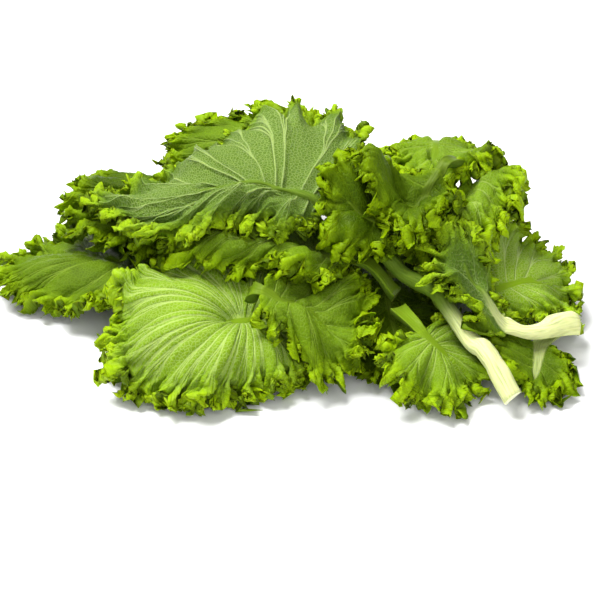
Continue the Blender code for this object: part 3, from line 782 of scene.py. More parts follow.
def scatter(points, faces):
    """Places spread evenly over every face, closer together than a cell is wide."""
    corners = points[faces]
    longest = np.linalg.norm(corners - np.roll(corners, 1, axis=1), axis=2).max(axis=1)
    found = []
    for parts in SAMPLE_PARTS:
        fits = longest <= parts * SAMPLE_SPACING
        chosen = (fits | (parts == SAMPLE_PARTS[-1])) & (longest > 0)
        longest = np.where(fits, 0, longest)
        i, j = np.meshgrid(np.arange(parts + 1), np.arange(parts + 1), indexing="ij")
        keep = i + j <= parts
        w = np.stack([i[keep], j[keep], parts - i[keep] - j[keep]], 1) / parts
        found.append(np.einsum("sk,fkd->fsd", w, corners[chosen]).reshape(-1, 3))
    return np.concatenate(found)


def empty_ground():
    return np.full(tuple(int(s / CELL) for s in FIELD_SIZE), -np.inf)


def heights(places, lowest):
    """A map of the lowest or highest of the places over each cell of the ground."""
    size = tuple(int(s / CELL) for s in FIELD_SIZE)
    cell = ((places[:, :2] - FIELD_LOW) / CELL).astype(int)
    index = np.clip(cell[:, 0], 0, size[0] - 1) * size[1] + np.clip(cell[:, 1], 0, size[1] - 1)
    field = np.full(size[0] * size[1], np.inf if lowest else -np.inf)
    (np.minimum if lowest else np.maximum).at(field, index, places[:, 2])
    return field.reshape(size)


def widest(field, cells):
    """The highest value within so many cells, each way."""
    for axis in (0, 1):
        field = np.maximum.reduce([np.roll(field, s, axis) for s in range(-cells, cells + 1)])
    return field


def averaged(field, cells):
    """The mean value within so many cells, each way."""
    for axis in (0, 1):
        field = np.mean([np.roll(field, s, axis) for s in range(-cells, cells + 1)], axis=0)
    return field


def read(field, places):
    """A field's value at places on the ground, blended between the centres of its cells."""
    at = (places[:, :2] - FIELD_LOW) / CELL - 0.5
    low = np.floor(at).astype(int)
    low = np.clip(low, 0, np.array(field.shape) - 2)
    f = np.clip(at - low, 0, 1)
    i, j = low[:, 0], low[:, 1]
    near = field[i, j] * (1 - f[:, 1]) + field[i, j + 1] * f[:, 1]
    far = field[i + 1, j] * (1 - f[:, 1]) + field[i + 1, j + 1] * f[:, 1]
    return near * (1 - f[:, 0]) + far * f[:, 0]


def short_of(ground, low, gap):
    """How much lower the lowest places are than a gap above the ground map, and 0 where they are
    higher."""
    short = ground - low + gap
    return np.where(np.isfinite(short), np.maximum(short, 0), 0)


def raise_clear(ground, points, above, below, up, faces):
    """Raises a sheet smoothly until its solid clears the ground map everywhere."""
    for _ in range(MOST_RAISES):
        solid, solid_faces = thicken(points, above, below, up, faces)
        short = short_of(widest(ground, 1), heights(scatter(solid, solid_faces), True), CLEARANCE)
        if short.max() <= 0:
            break
        raised = averaged(averaged(widest(short, 2 * SPREAD_CELLS), SPREAD_CELLS), SPREAD_CELLS)
        points = points + np.stack([0 * points[:, 0], 0 * points[:, 0], read(raised, points)], 1)
    return points, solid, solid_faces


def tight_points(solid, solid_faces, faces):
    """The points of a sheet where its solid crosses itself, or where a face has turned over."""
    tree = BVHTree.FromPolygons(solid.tolist(), solid_faces.tolist())
    pairs = np.array(tree.overlap(tree), int).reshape(-1, 2)
    first, second = solid_faces[pairs[:, 0]], solid_faces[pairs[:, 1]]
    apart = ~(first[:, :, None] == second[:, None, :]).any(axis=(1, 2))
    a, b, c = (solid[solid_faces[:, i]] for i in range(3))
    facing = np.cross(b - a, c - a)
    turned = np.sum(facing[: len(faces)] * facing[len(faces) : 2 * len(faces)], axis=1) >= 0
    found = np.concatenate([first[apart].ravel(), second[apart].ravel(), faces[turned].ravel()])
    return np.unique(found % (len(solid) // 2))


def eased(points, faces, tight):
    """The sheet's points with the tight ones and their neighbours moved halfway to their neighbours'
    mean."""
    links = np.concatenate([faces[:, [0, 1]], faces[:, [1, 2]], faces[:, [2, 0]]])
    links = np.concatenate([links, links[:, ::-1]])
    total = np.zeros_like(points)
    np.add.at(total, links[:, 0], points[links[:, 1]])
    times = np.bincount(links[:, 0], minlength=len(points))[:, None]
    near = np.zeros(len(points), bool)
    near[tight] = True
    near[links[near[links[:, 0]], 1]] = True
    return np.where(near[:, None], (points + total / times) / 2, points)


def lay_on(ground, sheet):
    """Lays a sheet on the ground map, and eases its folds wherever its solid would cross itself."""
    points = sheet.points
    for _ in range(MOST_EASINGS):
        points, solid, faces = raise_clear(ground, points, sheet.above, sheet.below, sheet.up, sheet.faces)
        tight = tight_points(solid, faces, sheet.faces)
        if len(tight) == 0:
            return points, solid, faces
        points = eased(points, sheet.faces, tight)
    raise RuntimeError("a leaf still crosses itself")


def spline_weights(f):
    """The weights of four points in a row on a Catmull-Rom curve, at share f between the middle two."""
    return (
        -0.5 * f + f**2 - 0.5 * f**3,
        1 - 2.5 * f**2 + 1.5 * f**3,
        0.5 * f + 2 * f**2 - 1.5 * f**3,
        -0.5 * f**2 + 0.5 * f**3,
    )


def read_smooth(grid, i, j):
    """A grid of vectors read at fractional rows i and columns j, on smooth curves through its values."""
    i = np.clip(i, 0, grid.shape[0] - 1)
    j = np.clip(j, 0, grid.shape[1] - 1)
    low_i = np.minimum(i.astype(int), grid.shape[0] - 2)
    low_j = np.minimum(j.astype(int), grid.shape[1] - 2)
    padded = np.pad(grid, ((1, 1), (1, 1), (0, 0)), mode="edge")
    total = 0
    for m, row_weight in enumerate(spline_weights(i - low_i)):
        for n, column_weight in enumerate(spline_weights(j - low_j)):
            total = total + (row_weight * column_weight)[:, None] * padded[low_i + m, low_j + n]
    return total


class Laid:
    """How a leaf was moved when its solid was laid on the heap, read anywhere on it."""

    def __init__(self, sheet, points, columns):
        moves = points - sheet.points
        t = np.linspace(0, 1, columns + 1)
        self.blade = np.stack([self.stretched(moves[ids], t) for ids in sheet.rows])
        self.stalk = moves[np.array(sheet.stations)]
        self.row_places = [row - 1 for row in SOLID_RIB_ROWS]
        self.row_places += SOLID_INNER_ROWS + SOLID_MIDDLE_ROWS + SOLID_OUTER_ROWS
        self.across_places = [-row for row in SOLID_RIB_ROWS[::-1]] + list(SOLID_RIB_ROWS[1:])

    @staticmethod
    def stretched(row, t):
        """A row's moves at all of the outer columns."""
        at = t * (len(row) - 1)
        return read_smooth(np.stack([row, row]), 0 * at, at)

    def on_blade(self, t, place):
        i = np.interp(place, self.row_places, np.arange(len(self.row_places)))
        return read_smooth(self.blade, i, t * (self.blade.shape[1] - 1))

    def on_stalk(self, share, across):
        j = np.interp(-across, self.across_places, np.arange(len(self.across_places)))
        return read_smooth(self.stalk, share * (len(self.stalk) - 1), j)


class Heap:
    """All of the leaves, laid one on another in order as their solids are."""

    def __init__(self):
        ground = empty_ground()
        self.leaves = {}
        low, high = np.full(3, np.inf), np.full(3, -np.inf)
        solids = {}
        for leaf in LEAVES:
            spine = Spine(leaf)
            blade = Blade(leaf, spine)
            grid = Grid(
                SAMPLES_PER_WAVE * leaf.waves,
                SOLID_RIB_ROWS,
                (SOLID_INNER_ROWS, SOLID_MIDDLE_ROWS, SOLID_OUTER_ROWS),
                SOLID_STALK_STEP,
            )
            sheet = sheet_of(
                leaf,
                spine,
                grid,
                lambda columns, row, in_rib: solid_row(leaf, spine, blade, columns, row, in_rib),
                lambda share, across: stalk_row(leaf, spine, share, across),
            )
            points, solid, faces = lay_on(ground, sheet)
            ground = np.maximum(ground, heights(scatter(solid, faces), False))
            self.leaves[leaf.name] = (leaf, spine, blade, Laid(sheet, points, grid.outer_columns))
            solids[leaf.name] = solid
            low, high = np.minimum(low, solid.min(axis=0)), np.maximum(high, solid.max(axis=0))
        self.centre = (low + high) / 2 * (1, 1, 0)
        self.ground = empty_ground()
        for name, solid in solids.items():
            self.check(name, solid - self.centre)

    @staticmethod
    def check(name, solid):
        """Stops the script if a leaf isn't laid where the frame has its solid."""
        corners = np.concatenate([solid.min(axis=0), solid.max(axis=0)])
        framed = np.array([*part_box(name)[0], *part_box(name)[1]]) / MM
        if np.abs(corners - framed).max() > SOLID_FIT:
            raise RuntimeError(f"{name} isn't laid as its solid is: {corners} against {framed}")


@functools.cache
def heap():
    return Heap()


def reach(inward, depth):
    """1 at the edge of a blade, falling smoothly to 0 at a depth inside it."""
    return 1 - ease(inward, 0, depth)


def triangle_wave(x):
    """A wave of straight slopes: 0 at whole numbers, 1 halfway between."""
    return 1 - np.abs(2 * (x % 1) - 1)


class Looks:
    """The finer forms of one leaf: its frills, teeth, veins and blisters, in millimetres."""

    def __init__(self, leaf, blade, sizes):
        self.leaf, self.blade = leaf, blade
        self.teeth = LOBE_TEETH * round(blade.edge_length / (sizes.tooth_spacing / MM) / LOBE_TEETH)
        self.tooth_length = sizes.tooth_length / MM
        self.frills = blade.edge_length / (sizes.frill_spacing / MM)
        self.frill_height = sizes.frill_height / MM * leaf.frill
        self.crimp_height = sizes.crimp_height / MM * leaf.frill
        self.crinkle_height = sizes.crinkle_height / MM * leaf.frill
        veins = leaf.veins * blade.edge_length / 2 / (sizes.vein_spacing / MM)
        self.veins = max(FEWEST_VEINS, round(veins))
        self.vein_depth = sizes.vein_depth / MM
        self.blister_height = sizes.blister_height / MM
        self.blister_size = sizes.blister_size / MM
        self.thickness = sizes.thickness / MM

    def columns(self, count, y):
        """Columns that crowd at the lateral veins, except near the edge."""
        u = np.linspace(0, 1, count + 1)
        share = 1 - np.abs(2 * u - 1)
        crowd = VEIN_CROWDING * (1 - ease(y, *EVEN_COLUMNS)) / (2 * math.pi * self.veins)
        share = share - crowd * np.sin(2 * math.pi * self.veins * share)
        return np.where(u <= 0.5, share / 2, 1 - share / 2)

    def frill_phase(self, t):
        """How many radians of frills have passed at column t: an even run with two slow wanderings."""
        phase = 2 * math.pi * self.frills * t
        for turn, (share, rate) in enumerate(FRILL_WANDER, 1):
            phase = phase + share * np.sin(2 * math.pi * rate * self.frills * t + turn * self.leaf.seed)
        return phase

    def waves(self, t, inward):
        """The two waves that run along the edge: frills, and the crimps on them. Gives each one's phase
        and its height, which swings along the edge and dies away inwards. The phase turns to and fro on
        the way inwards, by a sine of the distance from the edge, so that the frills curl."""
        phase = self.frill_phase(t)
        seed = self.leaf.seed
        turn, length = TWIST
        phase = phase + turn * np.sin(inward / length + CRIMP_WANDER[1] * phase + seed)
        high = self.frill_height * swings(phase, seed, FRILL_SWINGS)
        high = high * reach(inward, FRILL_REACH * self.leaf.frill) * ends(t, FRILL_ENDS)
        turn, rate = CRIMP_WANDER
        crimped = CRIMP_RATE * phase + turn * np.sin(rate * phase + seed) + seed
        return phase, high, crimped, self.crimp_height * reach(inward, CRIMP_REACH) * ends(t, FRILL_ENDS)

    def swayed(self, t, y, ray):
        """Where a point is drawn from: its column shifted to and fro, so that the frills lean over, and
        its place moved in and out, so that the edge winds like a spring, and out where the edge has a
        tooth, or a lobe of some teeth."""
        inward = np.maximum(1 - y, 0) * ray
        phase, high, crimped, small = self.waves(t, inward)
        lean = -LEAN * np.sin(2 * phase) * reach(inward, LEAN_REACH)
        lean = (lean - LEAN / CRIMP_RATE * np.sin(2 * crimped) * reach(inward, CRIMP_REACH)) / self.frills
        tooth = self.tooth_length * (triangle_wave(self.teeth * t) ** TOOTH_POWER - 0.5)
        lobe = triangle_wave(self.teeth * t / LOBE_TEETH + self.leaf.seed) - 0.5
        lobe = LOBE_LENGTH * self.tooth_length * lobe
        turn, rate = SWAY_TURN
        winding = high * np.cos(phase + turn * np.sin(rate * phase + self.leaf.seed))
        winding = winding * reach(inward, LEAN_REACH)
        out = (tooth * reach(inward, TOOTH_REACH) + lobe * reach(inward, LOBE_REACH)) * ends(t, FRILL_ENDS)
        out = out + SWAY * (winding + small * np.cos(crimped))
        return t + lean * ends(t, FRILL_ENDS), y + out / ray

    def frill(self, t, inward, a, b):
        """How far the edge stands off the blade: the sines of the frills and of the crimps, and small
        bumps on them. Then how far the two waves may."""
        phase, high, crimped, small = self.waves(t, inward)
        bumps = self.crinkle_height * reach(inward, FRILL_REACH * self.leaf.frill)
        bumps = bumps * self.bumps(a, b, CRINKLE_SIZE) * ends(t, FRILL_ENDS)
        return high * np.sin(phase) + small * np.sin(crimped) + bumps, high + small

    def vein_phase(self, t):
        """How many lateral veins have passed at column t, counted along each side from the stalk."""
        share, rate = VEIN_UNEVEN
        even = self.veins * (1 - np.abs(2 * t - 1))
        return even + share * np.sin(rate * even + self.leaf.seed)

    def vein_distances(self, phase, gap, y):
        """How far the nearest lateral vein is, and the nearest branch of one."""
        main = np.abs((phase + 0.5) % 1 - 0.5)
        branch = main
        for low, high, spread in FORKS:
            branch = np.abs(branch - spread * ease(y, low, high))
        return main * gap, np.minimum(main, branch) * gap

    def bumps(self, a, b, size):
        """Uneven bumps and hollows, 1 high and deep: the product of two waves that wind across each
        other."""
        k, seed = 2 * math.pi / size, self.leaf.seed
        (turn, rate), (other_turn, other_rate) = BUMP_WINDING
        one = np.sin(k * a + turn * np.sin(rate * k * b + seed))
        return one * np.sin(k * b + other_turn * np.sin(other_rate * k * a - seed))

    def blisters(self, a, b, nearest):
        """Soft blisters between the veins: a pillow that sinks at each vein, with smaller bumps on it."""
        bumps = self.bumps(a, b, self.blister_size)
        on_pillow, all_over = BLISTER_BUMPS
        pillow = ease(nearest, 0, BLISTER_RISE) * (1 + on_pillow * bumps)
        return self.blister_height * (pillow + all_over * bumps)


def fine_grid(leaf, looks):
    """Rows no further apart than each zone's step, where the blade is widest."""
    width = max(leaf.half_widths)
    shares = []
    for low, high, step in zip((0, *ZONES), ZONES, ZONE_STEPS):
        count = math.ceil((high - low) * width / step)
        shares.append(tuple(low + (high - low) * (i + 1) / count for i in range(count)))
    return Grid(TOOTH_COLUMNS * looks.teeth, FINE_RIB_ROWS, tuple(shares), FINE_STALK_STEP)


def fine_row(leaf, spine, blade, laid, looks, columns, row, in_rib):
    """One row of the finished blade, with the marks that its material reads. Each lateral vein is a
    bell-shaped ridge below the blade, and each vein and branch a bell-shaped groove above it. Between the
    veins the blade rises in a fold, a power of the sine of the vein phase, with blisters on it."""
    y, rib = (0.0, row) if in_rib else (row, 1.0)
    t = looks.columns(columns, y)
    ray = drawn(leaf, spine, blade, t, y, rib)[5]
    t_from, y_from = looks.swayed(t, y, ray) if not in_rib else (t, np.zeros_like(t))
    points, a, b, v, a_root, ray = drawn(leaf, spine, blade, t_from, y_from, rib)
    points = points + laid.on_blade(t_from, np.full_like(t, rib - 1 if in_rib else y))
    depth = rib_depth(v, row) if in_rib else 0 * t
    inward = np.maximum(1 - y, 0) * ray
    phase = looks.vein_phase(t) + VEIN_WANDER * looks.bumps(a, b, WANDER_SIZE) * ease(y, 0, WANDER_FROM)
    across = np.hypot(np.gradient(a), np.gradient(b)) / np.maximum(np.abs(np.gradient(phase)), 1e-6)
    gap = np.clip(across, 1, VEIN_GAPS)
    main, nearest = looks.vein_distances(phase, gap, y)
    blade_share = ease(y * ray, 0, BLISTER_RISE)
    width_in, width_out = VEIN_HALF_WIDTH
    half = width_in + (width_out - width_in) * y
    vein = looks.vein_depth * (1 - VEIN_TAPER * y) * np.exp(-((main / half) ** 2)) * blade_share
    detail = looks.blisters(a, b, nearest) * blade_share * ease(inward, 0, BLISTER_RISE)
    detail = detail - VEIN_GROOVE * np.exp(-((nearest / half) ** 2)) * blade_share
    fold = leaf.fold * FOLD_RISE * np.minimum(gap, FOLD_WIDTH)
    fold = fold * (np.sin(math.pi * phase) ** 2) ** FOLD_ROUNDING
    fold = fold * (1 + FOLD_SWING * np.sin(FOLD_RATE * phase + leaf.seed))
    detail = detail + fold * blade_share * ease(inward, 0, FOLD_FADE)
    upward = -1 if leaf.underside_up else 1
    thickness = looks.thickness * (1 - EDGE_THINNING * (1 - ease(inward, 0, THIN_EDGE)))
    frill, frill_height = (0, 0) if in_rib else looks.frill(t, inward, a, b)
    rib_mark = 1 - ease(row, RIB_FADE, 1) / 2 if in_rib else (1 - ease(y * ray, 0, RIB_BLUR)) / 2
    return {
        "points": points,
        "above": thickness / 2,
        "below": thickness / 2 + depth + vein,
        "up": spine.at(spine.up, a_root) if in_rib else np.zeros_like(points),
        "detail": upward * detail + frill,
        # How high the frill stands here, from -1 to 1: the material paints light on its crests and shade in
        # its hollows by it.
        "crest": np.clip(frill / max(looks.frill_height, 1e-6), -1, 1) + 0 * t,
        "reserve": frill_height + 0 * t,
        "flat": np.stack([a, b], 1),
        "vein_phase": phase,
        "vein_gap": gap,
        "outward": y,
        "inward": inward,
        "rib": rib_mark,
        "to_cut": a + spine.stalk_length,
    }


def fine_stalk_row(leaf, spine, laid, looks, share, across):
    """One row of the finished stalk: the plain one, with ridges along its round side."""
    row = stalk_row(leaf, spine, share, across)
    row["points"] = row["points"] + laid.on_stalk(np.full(len(across), share), across)
    ridges = STALK_RIDGE * np.cos(STALK_RIDGES * math.pi * across) * np.sqrt(1 - across**2)
    ridges = ridges * ease(share, 0, RIDGE_START)
    row["above"] = looks.thickness / 2
    row["below"] = row["below"] - BLADE / 2 + looks.thickness / 2 + ridges
    half_width = stalk_half_width(leaf, share)
    a = np.full(len(across), -spine.stalk_length * share)
    marks = dict.fromkeys(("detail", "reserve", "crest", "vein_phase", "outward"), 0)
    marks |= {"vein_gap": VEIN_GAPS, "inward": VEIN_GAPS, "rib": 1, "to_cut": a + spine.stalk_length}
    return {**row, **marks, "flat": np.stack([a, across * half_width], 1)}


def lifted(ground, sheet):
    """Raises a fine sheet a little where it would go through the leaves below, at most by MOST_LIFT."""
    start = sheet.points.copy()
    for _ in range(FINE_RAISES):
        solid, _ = thicken(sheet.points, sheet.above, sheet.below, sheet.up, sheet.faces, 0)
        short = short_of(ground, heights(solid, True), FINE_CLEARANCE)
        if short.max() <= 0:
            break
        raised = averaged(averaged(widest(short, SPREAD_CELLS), SPREAD_CELLS), 1)
        sheet.points[:, 2] += read(raised, sheet.points)
        sheet.points[:, 2] = np.minimum(sheet.points[:, 2], start[:, 2] + MOST_LIFT)


def build_leaf(name):
    """One finished leaf as an object of its own, in place of its solid."""
    leaf, spine, blade, laid = heap().leaves[name]
    sizes = bpy.context.scene.greens_sizes
    looks = Looks(leaf, blade, sizes)
    sheet = sheet_of(
        leaf,
        spine,
        fine_grid(leaf, looks),
        lambda columns, row, in_rib: fine_row(leaf, spine, blade, laid, looks, columns, row, in_rib),
        lambda share, across: fine_stalk_row(leaf, spine, laid, looks, share, across),
    )
    normals = point_normals(sheet.points, sheet.faces)
    sheet.points[:, 2] = off_ground(sheet.points[:, 2], sheet.reserve * np.abs(normals[:, 2]))
    sheet.points = sheet.points + normals * sheet.detail[:, None]
    sheet.points[:, 2] = off_ground(sheet.points[:, 2], FLOOR_SKIN, FLOOR_SKIN)
    lifted(heap().ground, sheet)
    thinnest = looks.thickness / 2
    solid, faces = thicken(sheet.points, sheet.above, sheet.below, sheet.up, sheet.faces, thinnest)
    heap().ground = np.maximum(heap().ground, heights(solid, False))
    solid = (solid - heap().centre) * MM
    mesh = bpy.data.meshes.new(name + "_fine")
    mesh.from_pydata(solid.tolist(), [], faces.tolist())
    top = len(sheet.faces)
    cut = np.concatenate([sheet.to_cut, sheet.to_cut])[faces[2 * top :]].max(axis=1) < CUT_DEPTH
    slots = np.concatenate([np.zeros(top, int), np.ones(top, int), np.where(cut, 2, 0)])
    mesh.polygons.foreach_set("material_index", slots.astype(np.int32))
    mesh.polygons.foreach_set("use_smooth", np.concatenate([np.ones(2 * top, bool), ~cut]))
    uv = mesh.uv_layers.new(name="flat")
    flat = np.concatenate([sheet.flat, sheet.flat])[faces.ravel()] * MM
    uv.uv.foreach_set("vector", flat.astype(np.float32).ravel())
    marks = {mark: np.tile(getattr(sheet, mark), 2) for mark in MARKS}
    marks |= {mark: np.full(len(solid), getattr(leaf, mark)) for mark in LEAF_MARKS}
    for mark, values in marks.items():
        mesh.attributes.new(mark, "FLOAT", "POINT").data.foreach_set("value", values.astype(np.float32))
    upper, under = leaf_side("upper"), leaf_side("under")
    for material in (under, upper) if leaf.underside_up else (upper, under):
        mesh.materials.append(material)
    mesh.materials.append(cut_end())
    mesh.update()
    piece = bpy.data.objects.new(name + "_fine", mesh)
    bpy.context.scene.collection.objects.link(piece)
    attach(piece, "root")
    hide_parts(name)


def linear(colour):
    """A hex sRGB colour as four linear numbers."""
    parts = [int(colour[i : i + 2], 16) / 255 for i in (1, 3, 5)]
    return (*[c / 12.92 if c <= 0.04045 else ((c + 0.055) / 1.055) ** 2.4 for c in parts], 1.0)


def add_node(tree, kind, inputs=(), out=0, **settings):
    """Adds a shader node with its settings and gives one of its outputs. The inputs are values or the
    outputs of other nodes, in order or by name or number."""
    made = tree.nodes.new("ShaderNode" + kind)
    for name, value in settings.items():
        setattr(made, name, value)
    for name, value in (inputs if isinstance(inputs, dict) else dict(enumerate(inputs))).items():
        if isinstance(value, bpy.types.NodeSocket):
            tree.links.new(value, made.inputs[name])
        else:
            made.inputs[name].default_value = value
    return made.outputs[out]


def new_material(name):
    material = bpy.data.materials.new(name)
    material.use_nodes = True
    tree = material.node_tree
    shader = tree.nodes["Principled BSDF"].inputs
    return material, functools.partial(add_node, tree), tree.links.new, shader


def mixed(add, share, colour, other):
    """A colour with a share of another mixed in."""
    return add("Mix", {0: share, 6: colour, 7: other}, 2, data_type="RGBA")


def product(add, one, other, **settings):
    """One value times another."""
    return add("Math", (one, other), operation="MULTIPLY", **settings)


def smooth_range(add, *inputs):
    """A value mapped from one range to another, by default from 0 to 1, by a smooth step."""
    return add("MapRange", inputs, interpolation_type="SMOOTHSTEP")


def glow(shader, share, depths):
    """Light that goes into the flesh and comes out beside where it went in."""
    shader["Subsurface Weight"].default_value = share
    shader["Subsurface Radius"].default_value = depths
    shader["Subsurface Scale"].default_value = GLOW_DEPTH


def colours_by_name():
    """The colours that are set in the panel, as four numbers each."""
    group = bpy.context.scene.greens_colours
    return {name: (*getattr(group, name), 1) for name in GreensColours.__annotations__}


@functools.cache
def leaf_side(side):
    """A living leaf's skin. The upper side is a bright green with a little wax on it, so it shines softly,
    and its veins are sunk. The underside is greyer and duller, and its veins stand out in a pale raised
    net."""
    colours = colours_by_name()
    net_spacing = bpy.context.scene.greens_sizes.net_spacing
    material, add, link, shader = new_material(f"mustard leaf, {side} side")
    under = side == "under"
    flat = add("UVMap", uv_map="flat")
    mark = {name: add("Attribute", out="Fac", attribute_name=name) for name in (*MARKS, *LEAF_MARKS)}
    patch = add("TexNoise", {"Vector": flat, "Scale": 1 / PATCH_SIZE, "Detail": 3.0})
    drift = add("TexNoise", {"Vector": flat, "Scale": 1 / DRIFT_SIZE, "Detail": 2.0}, "Color")

    # Lateral veins: how far the nearest one or its branch
    # is, in millimetres, as the leaf's relief has them.
    passed = add("Math", (add("Math", (mark["vein_phase"], 0.5)),), operation="FRACT")
    passed = add("Math", (passed, 0.5), operation="SUBTRACT")
    nearest = branch = add("Math", (passed,), operation="ABSOLUTE")
    for low, high, spread in FORKS:
        apart = smooth_range(add, mark["outward"], low, high, 0, spread)
        branch = add("Math", (add("Math", (branch, apart), operation="SUBTRACT"),), operation="ABSOLUTE")
        nearest = add("Math", (nearest, branch), operation="MINIMUM")
    distance = product(add, nearest, mark["vein_gap"])
    half_width = add("MapRange", (mark["outward"], 0, 1, *VEIN_SHOWN))
    times = add("Math", (distance, half_width), operation="DIVIDE")
    veins = smooth_range(add, times, *VEIN_SOFTNESS, 1, 0)

    # The net between the veins: the edges of small cells, and of finer ones within them.
    drift = add("VectorMath", {0: drift, 1: (NET_DRIFT,) * 3}, operation="MULTIPLY")
    place = add("VectorMath", (flat, drift), operation="ADD")
    nets = []
    for spacing in (net_spacing, net_spacing * FINE_NET):
        cells = {"Vector": place, "Scale": 1 / spacing}
        cells = add("TexVoronoi", cells, "Distance", feature="DISTANCE_TO_EDGE", voronoi_dimensions="2D")
        nets.append(smooth_range(add, cells, 0.0, NET_LINE, 1, 0))
    net, fine_net = nets

    # Old leaves are deep green and young ones yellow-green, in soft patches, and leaves given painted
    # shade deep in the heap are dark too. The thin edge is brightest. The frills' crests get painted light,
    # more of the edge's colour, and their hollows get painted shade, the old upper side's deep green.
    deep, young, vein = (colours[f"{side}_{name}"] for name in ("deep", "young", "vein"))
    age_and_shade = add("Math", (patch, PATCHINESS, -PATCHINESS / 2), operation="MULTIPLY_ADD")
    age_and_shade = add("Math", (age_and_shade, mark["tone"]), use_clamp=True)
    colour = mixed(add, age_and_shade, deep, young)
    crest = add("MapRange", (mark["crest"], -1, 1, -PAINTED_CREST_LIGHT, PAINTED_CREST_LIGHT))
    edge = smooth_range(add, mark["inward"], 0, EDGE_COLOUR_REACH, EDGE_SHARE, 0)
    edge = add("Math", (edge, crest), use_clamp=True)
    edge = product(add, edge, add("MapRange", (mark["tone"], 0, FULL_EDGE_FROM_TONE, EDGE_ON_DARK_LEAVES, 1)))
    colour = mixed(add, edge, colour, colours["edge"])
    painted_hollow_shade = product(add, mark["crest"], -PAINTED_HOLLOW_SHADE, use_clamp=True)
    colour = mixed(add, painted_hollow_shade, colour, colours["upper_deep"])
    skin = colour

    # The veins and the net are pale, less so on dark leaves, old ones and those in painted shade, and near
    # the edge. On the upper side of a dark leaf they take the edge's colour.
    if not under:
        vein = mixed(add, mark["tone"], colours["edge"], vein)
    shown = add("MapRange", (mark["tone"], 0, 1, VEINS_ON_DARK_LEAVES, 1))
    shown = product(add, shown, smooth_range(add, mark["inward"], *VEIN_FADE, VEINS_AT_EDGE, 1))
    for pattern, share in zip((fine_net, net, veins), VEIN_SHARES[side]):
        share = product(add, product(add, pattern, shown), share)
        colour = mixed(add, share, colour, vein)

    # The midrib and stalk mix their leaf's colour with their own in fibres along them, and some leaves'
    # stalks are pale towards the cut end.
    stretched = add("Mapping", {"Vector": flat, "Scale": (1 / FIBRE_LENGTH, 1 / FIBRE_WIDTH, 1)})
    fibre = add("TexNoise", {"Vector": stretched, "Scale": 1, "Detail": 2})
    pale = product(add, smooth_range(add, mark["to_cut"], *PALE_REACH, 1, 0), mark["pale"])
    streak = add("MapRange", (fibre, *GREEN_FIBRES, RIB_SHARE, 0))
    rib_colour = mixed(add, streak, skin, colours["midrib"])
    rib_colour = mixed(add, add("MapRange", (fibre, *PALE_FIBRES, pale, 0)), rib_colour, colours["stalk"])
    on_rib = smooth_range(add, mark["rib"], *RIB_EDGE)
    link(mixed(add, on_rib, colour, rib_colour), shader["Base Color"])

    # Veins and net stand out of the underside and are sunk in the upper side.
    height = add("Math", (net, NET_HEIGHT, veins), operation="MULTIPLY_ADD")
    height = add("Math", (fine_net, FINE_NET_HEIGHT, height), operation="MULTIPLY_ADD")
    height = product(add, height, add("MapRange", (on_rib, 0, 1, 1 if under else -1, 0)))
    height = add("Math", (height, product(add, fibre, on_rib)))
    link(add("Bump", {"Strength": 1.0, "Distance": RELIEF[side] * MM, "Height": height}), shader["Normal"])
    link(add("MapRange", (patch, *DULL_PATCHES, *ROUGHNESS[side])), shader["Roughness"])
    shader["Specular IOR Level"].default_value = WAX_SHINE
    shader["Specular Tint"].default_value = linear(WAX_TINT)
    glow(shader, *LEAF_GLOW)
    return material


@functools.cache
def cut_end():
    """The cut face of a stalk: wet flesh with the ends of its fibres as darker dots. It is cream-coloured
    where the stalk is pale, and green on a green one."""
    colours = colours_by_name()
    material, add, link, shader = new_material("cut mustard stalk")
    place = add("TexCoord", out="Object")
    dots = add("TexVoronoi", {"Vector": place, "Scale": 1 / FIBRE_END_SPACING}, "Distance")
    share = smooth_range(add, dots, *DOT_EDGE)
    pale = add("Attribute", out="Fac", attribute_name="pale")
    colour = mixed(add, pale, colours["midrib"], mixed(add, share, colours["stalk"], colours["flesh"]))
    link(colour, shader["Base Color"])
    relief = {"Strength": CUT_RELIEF_STRENGTH, "Distance": CUT_RELIEF * MM, "Height": dots}
    link(add("Bump", relief), shader["Normal"])
    shader["Roughness"].default_value = CUT_ROUGHNESS
    glow(shader, *CUT_GLOW)
    return material


def length_property(name, description, default):
    said = {"name": name, "description": description, "default": default}
    return FloatProperty(**said, min=0, unit="LENGTH", precision=4)


def colour_property(name, description, default):
    said = {"name": name, "description": description, "default": linear(default)[:3]}
    return FloatVectorProperty(**said, min=0, max=1, subtype="COLOR")


class GreensSizes(bpy.types.PropertyGroup):
    """The sizes of a leaf's finer forms."""

    thickness: length_property("Blade", "How thick a blade is", 0.0007)
    frill_height: length_property("Frill height", "How far a frill stands off the blade", 0.0045)
    frill_spacing: length_property("Frill spacing", "How far apart the frills are along the edge", 0.0105)
    crimp_height: length_property("Crimp height", "How far the small crimps stand off the frills", 0.0021)
    crinkle_height: length_property("Crinkle height", "How far the bumps by the edge stand out", 0.0016)
    tooth_length: length_property("Tooth length", "How far a tooth stands out of the edge", 0.0054)
    tooth_spacing: length_property("Tooth spacing", "How far apart the teeth are", 0.0034)
    vein_spacing: length_property("Vein spacing", "How far apart the lateral veins end", 0.02)
    vein_depth: length_property("Vein depth", "How far a lateral vein stands out of the underside", 0.0009)
    net_spacing: length_property("Net spacing", "How wide the cells of the veins' net are", 0.0023)
    blister_height: length_property("Blister height", "How far the blade swells between the veins", 0.0008)
    blister_size: length_property("Blister size", "How wide the blade's blisters are", 0.010)


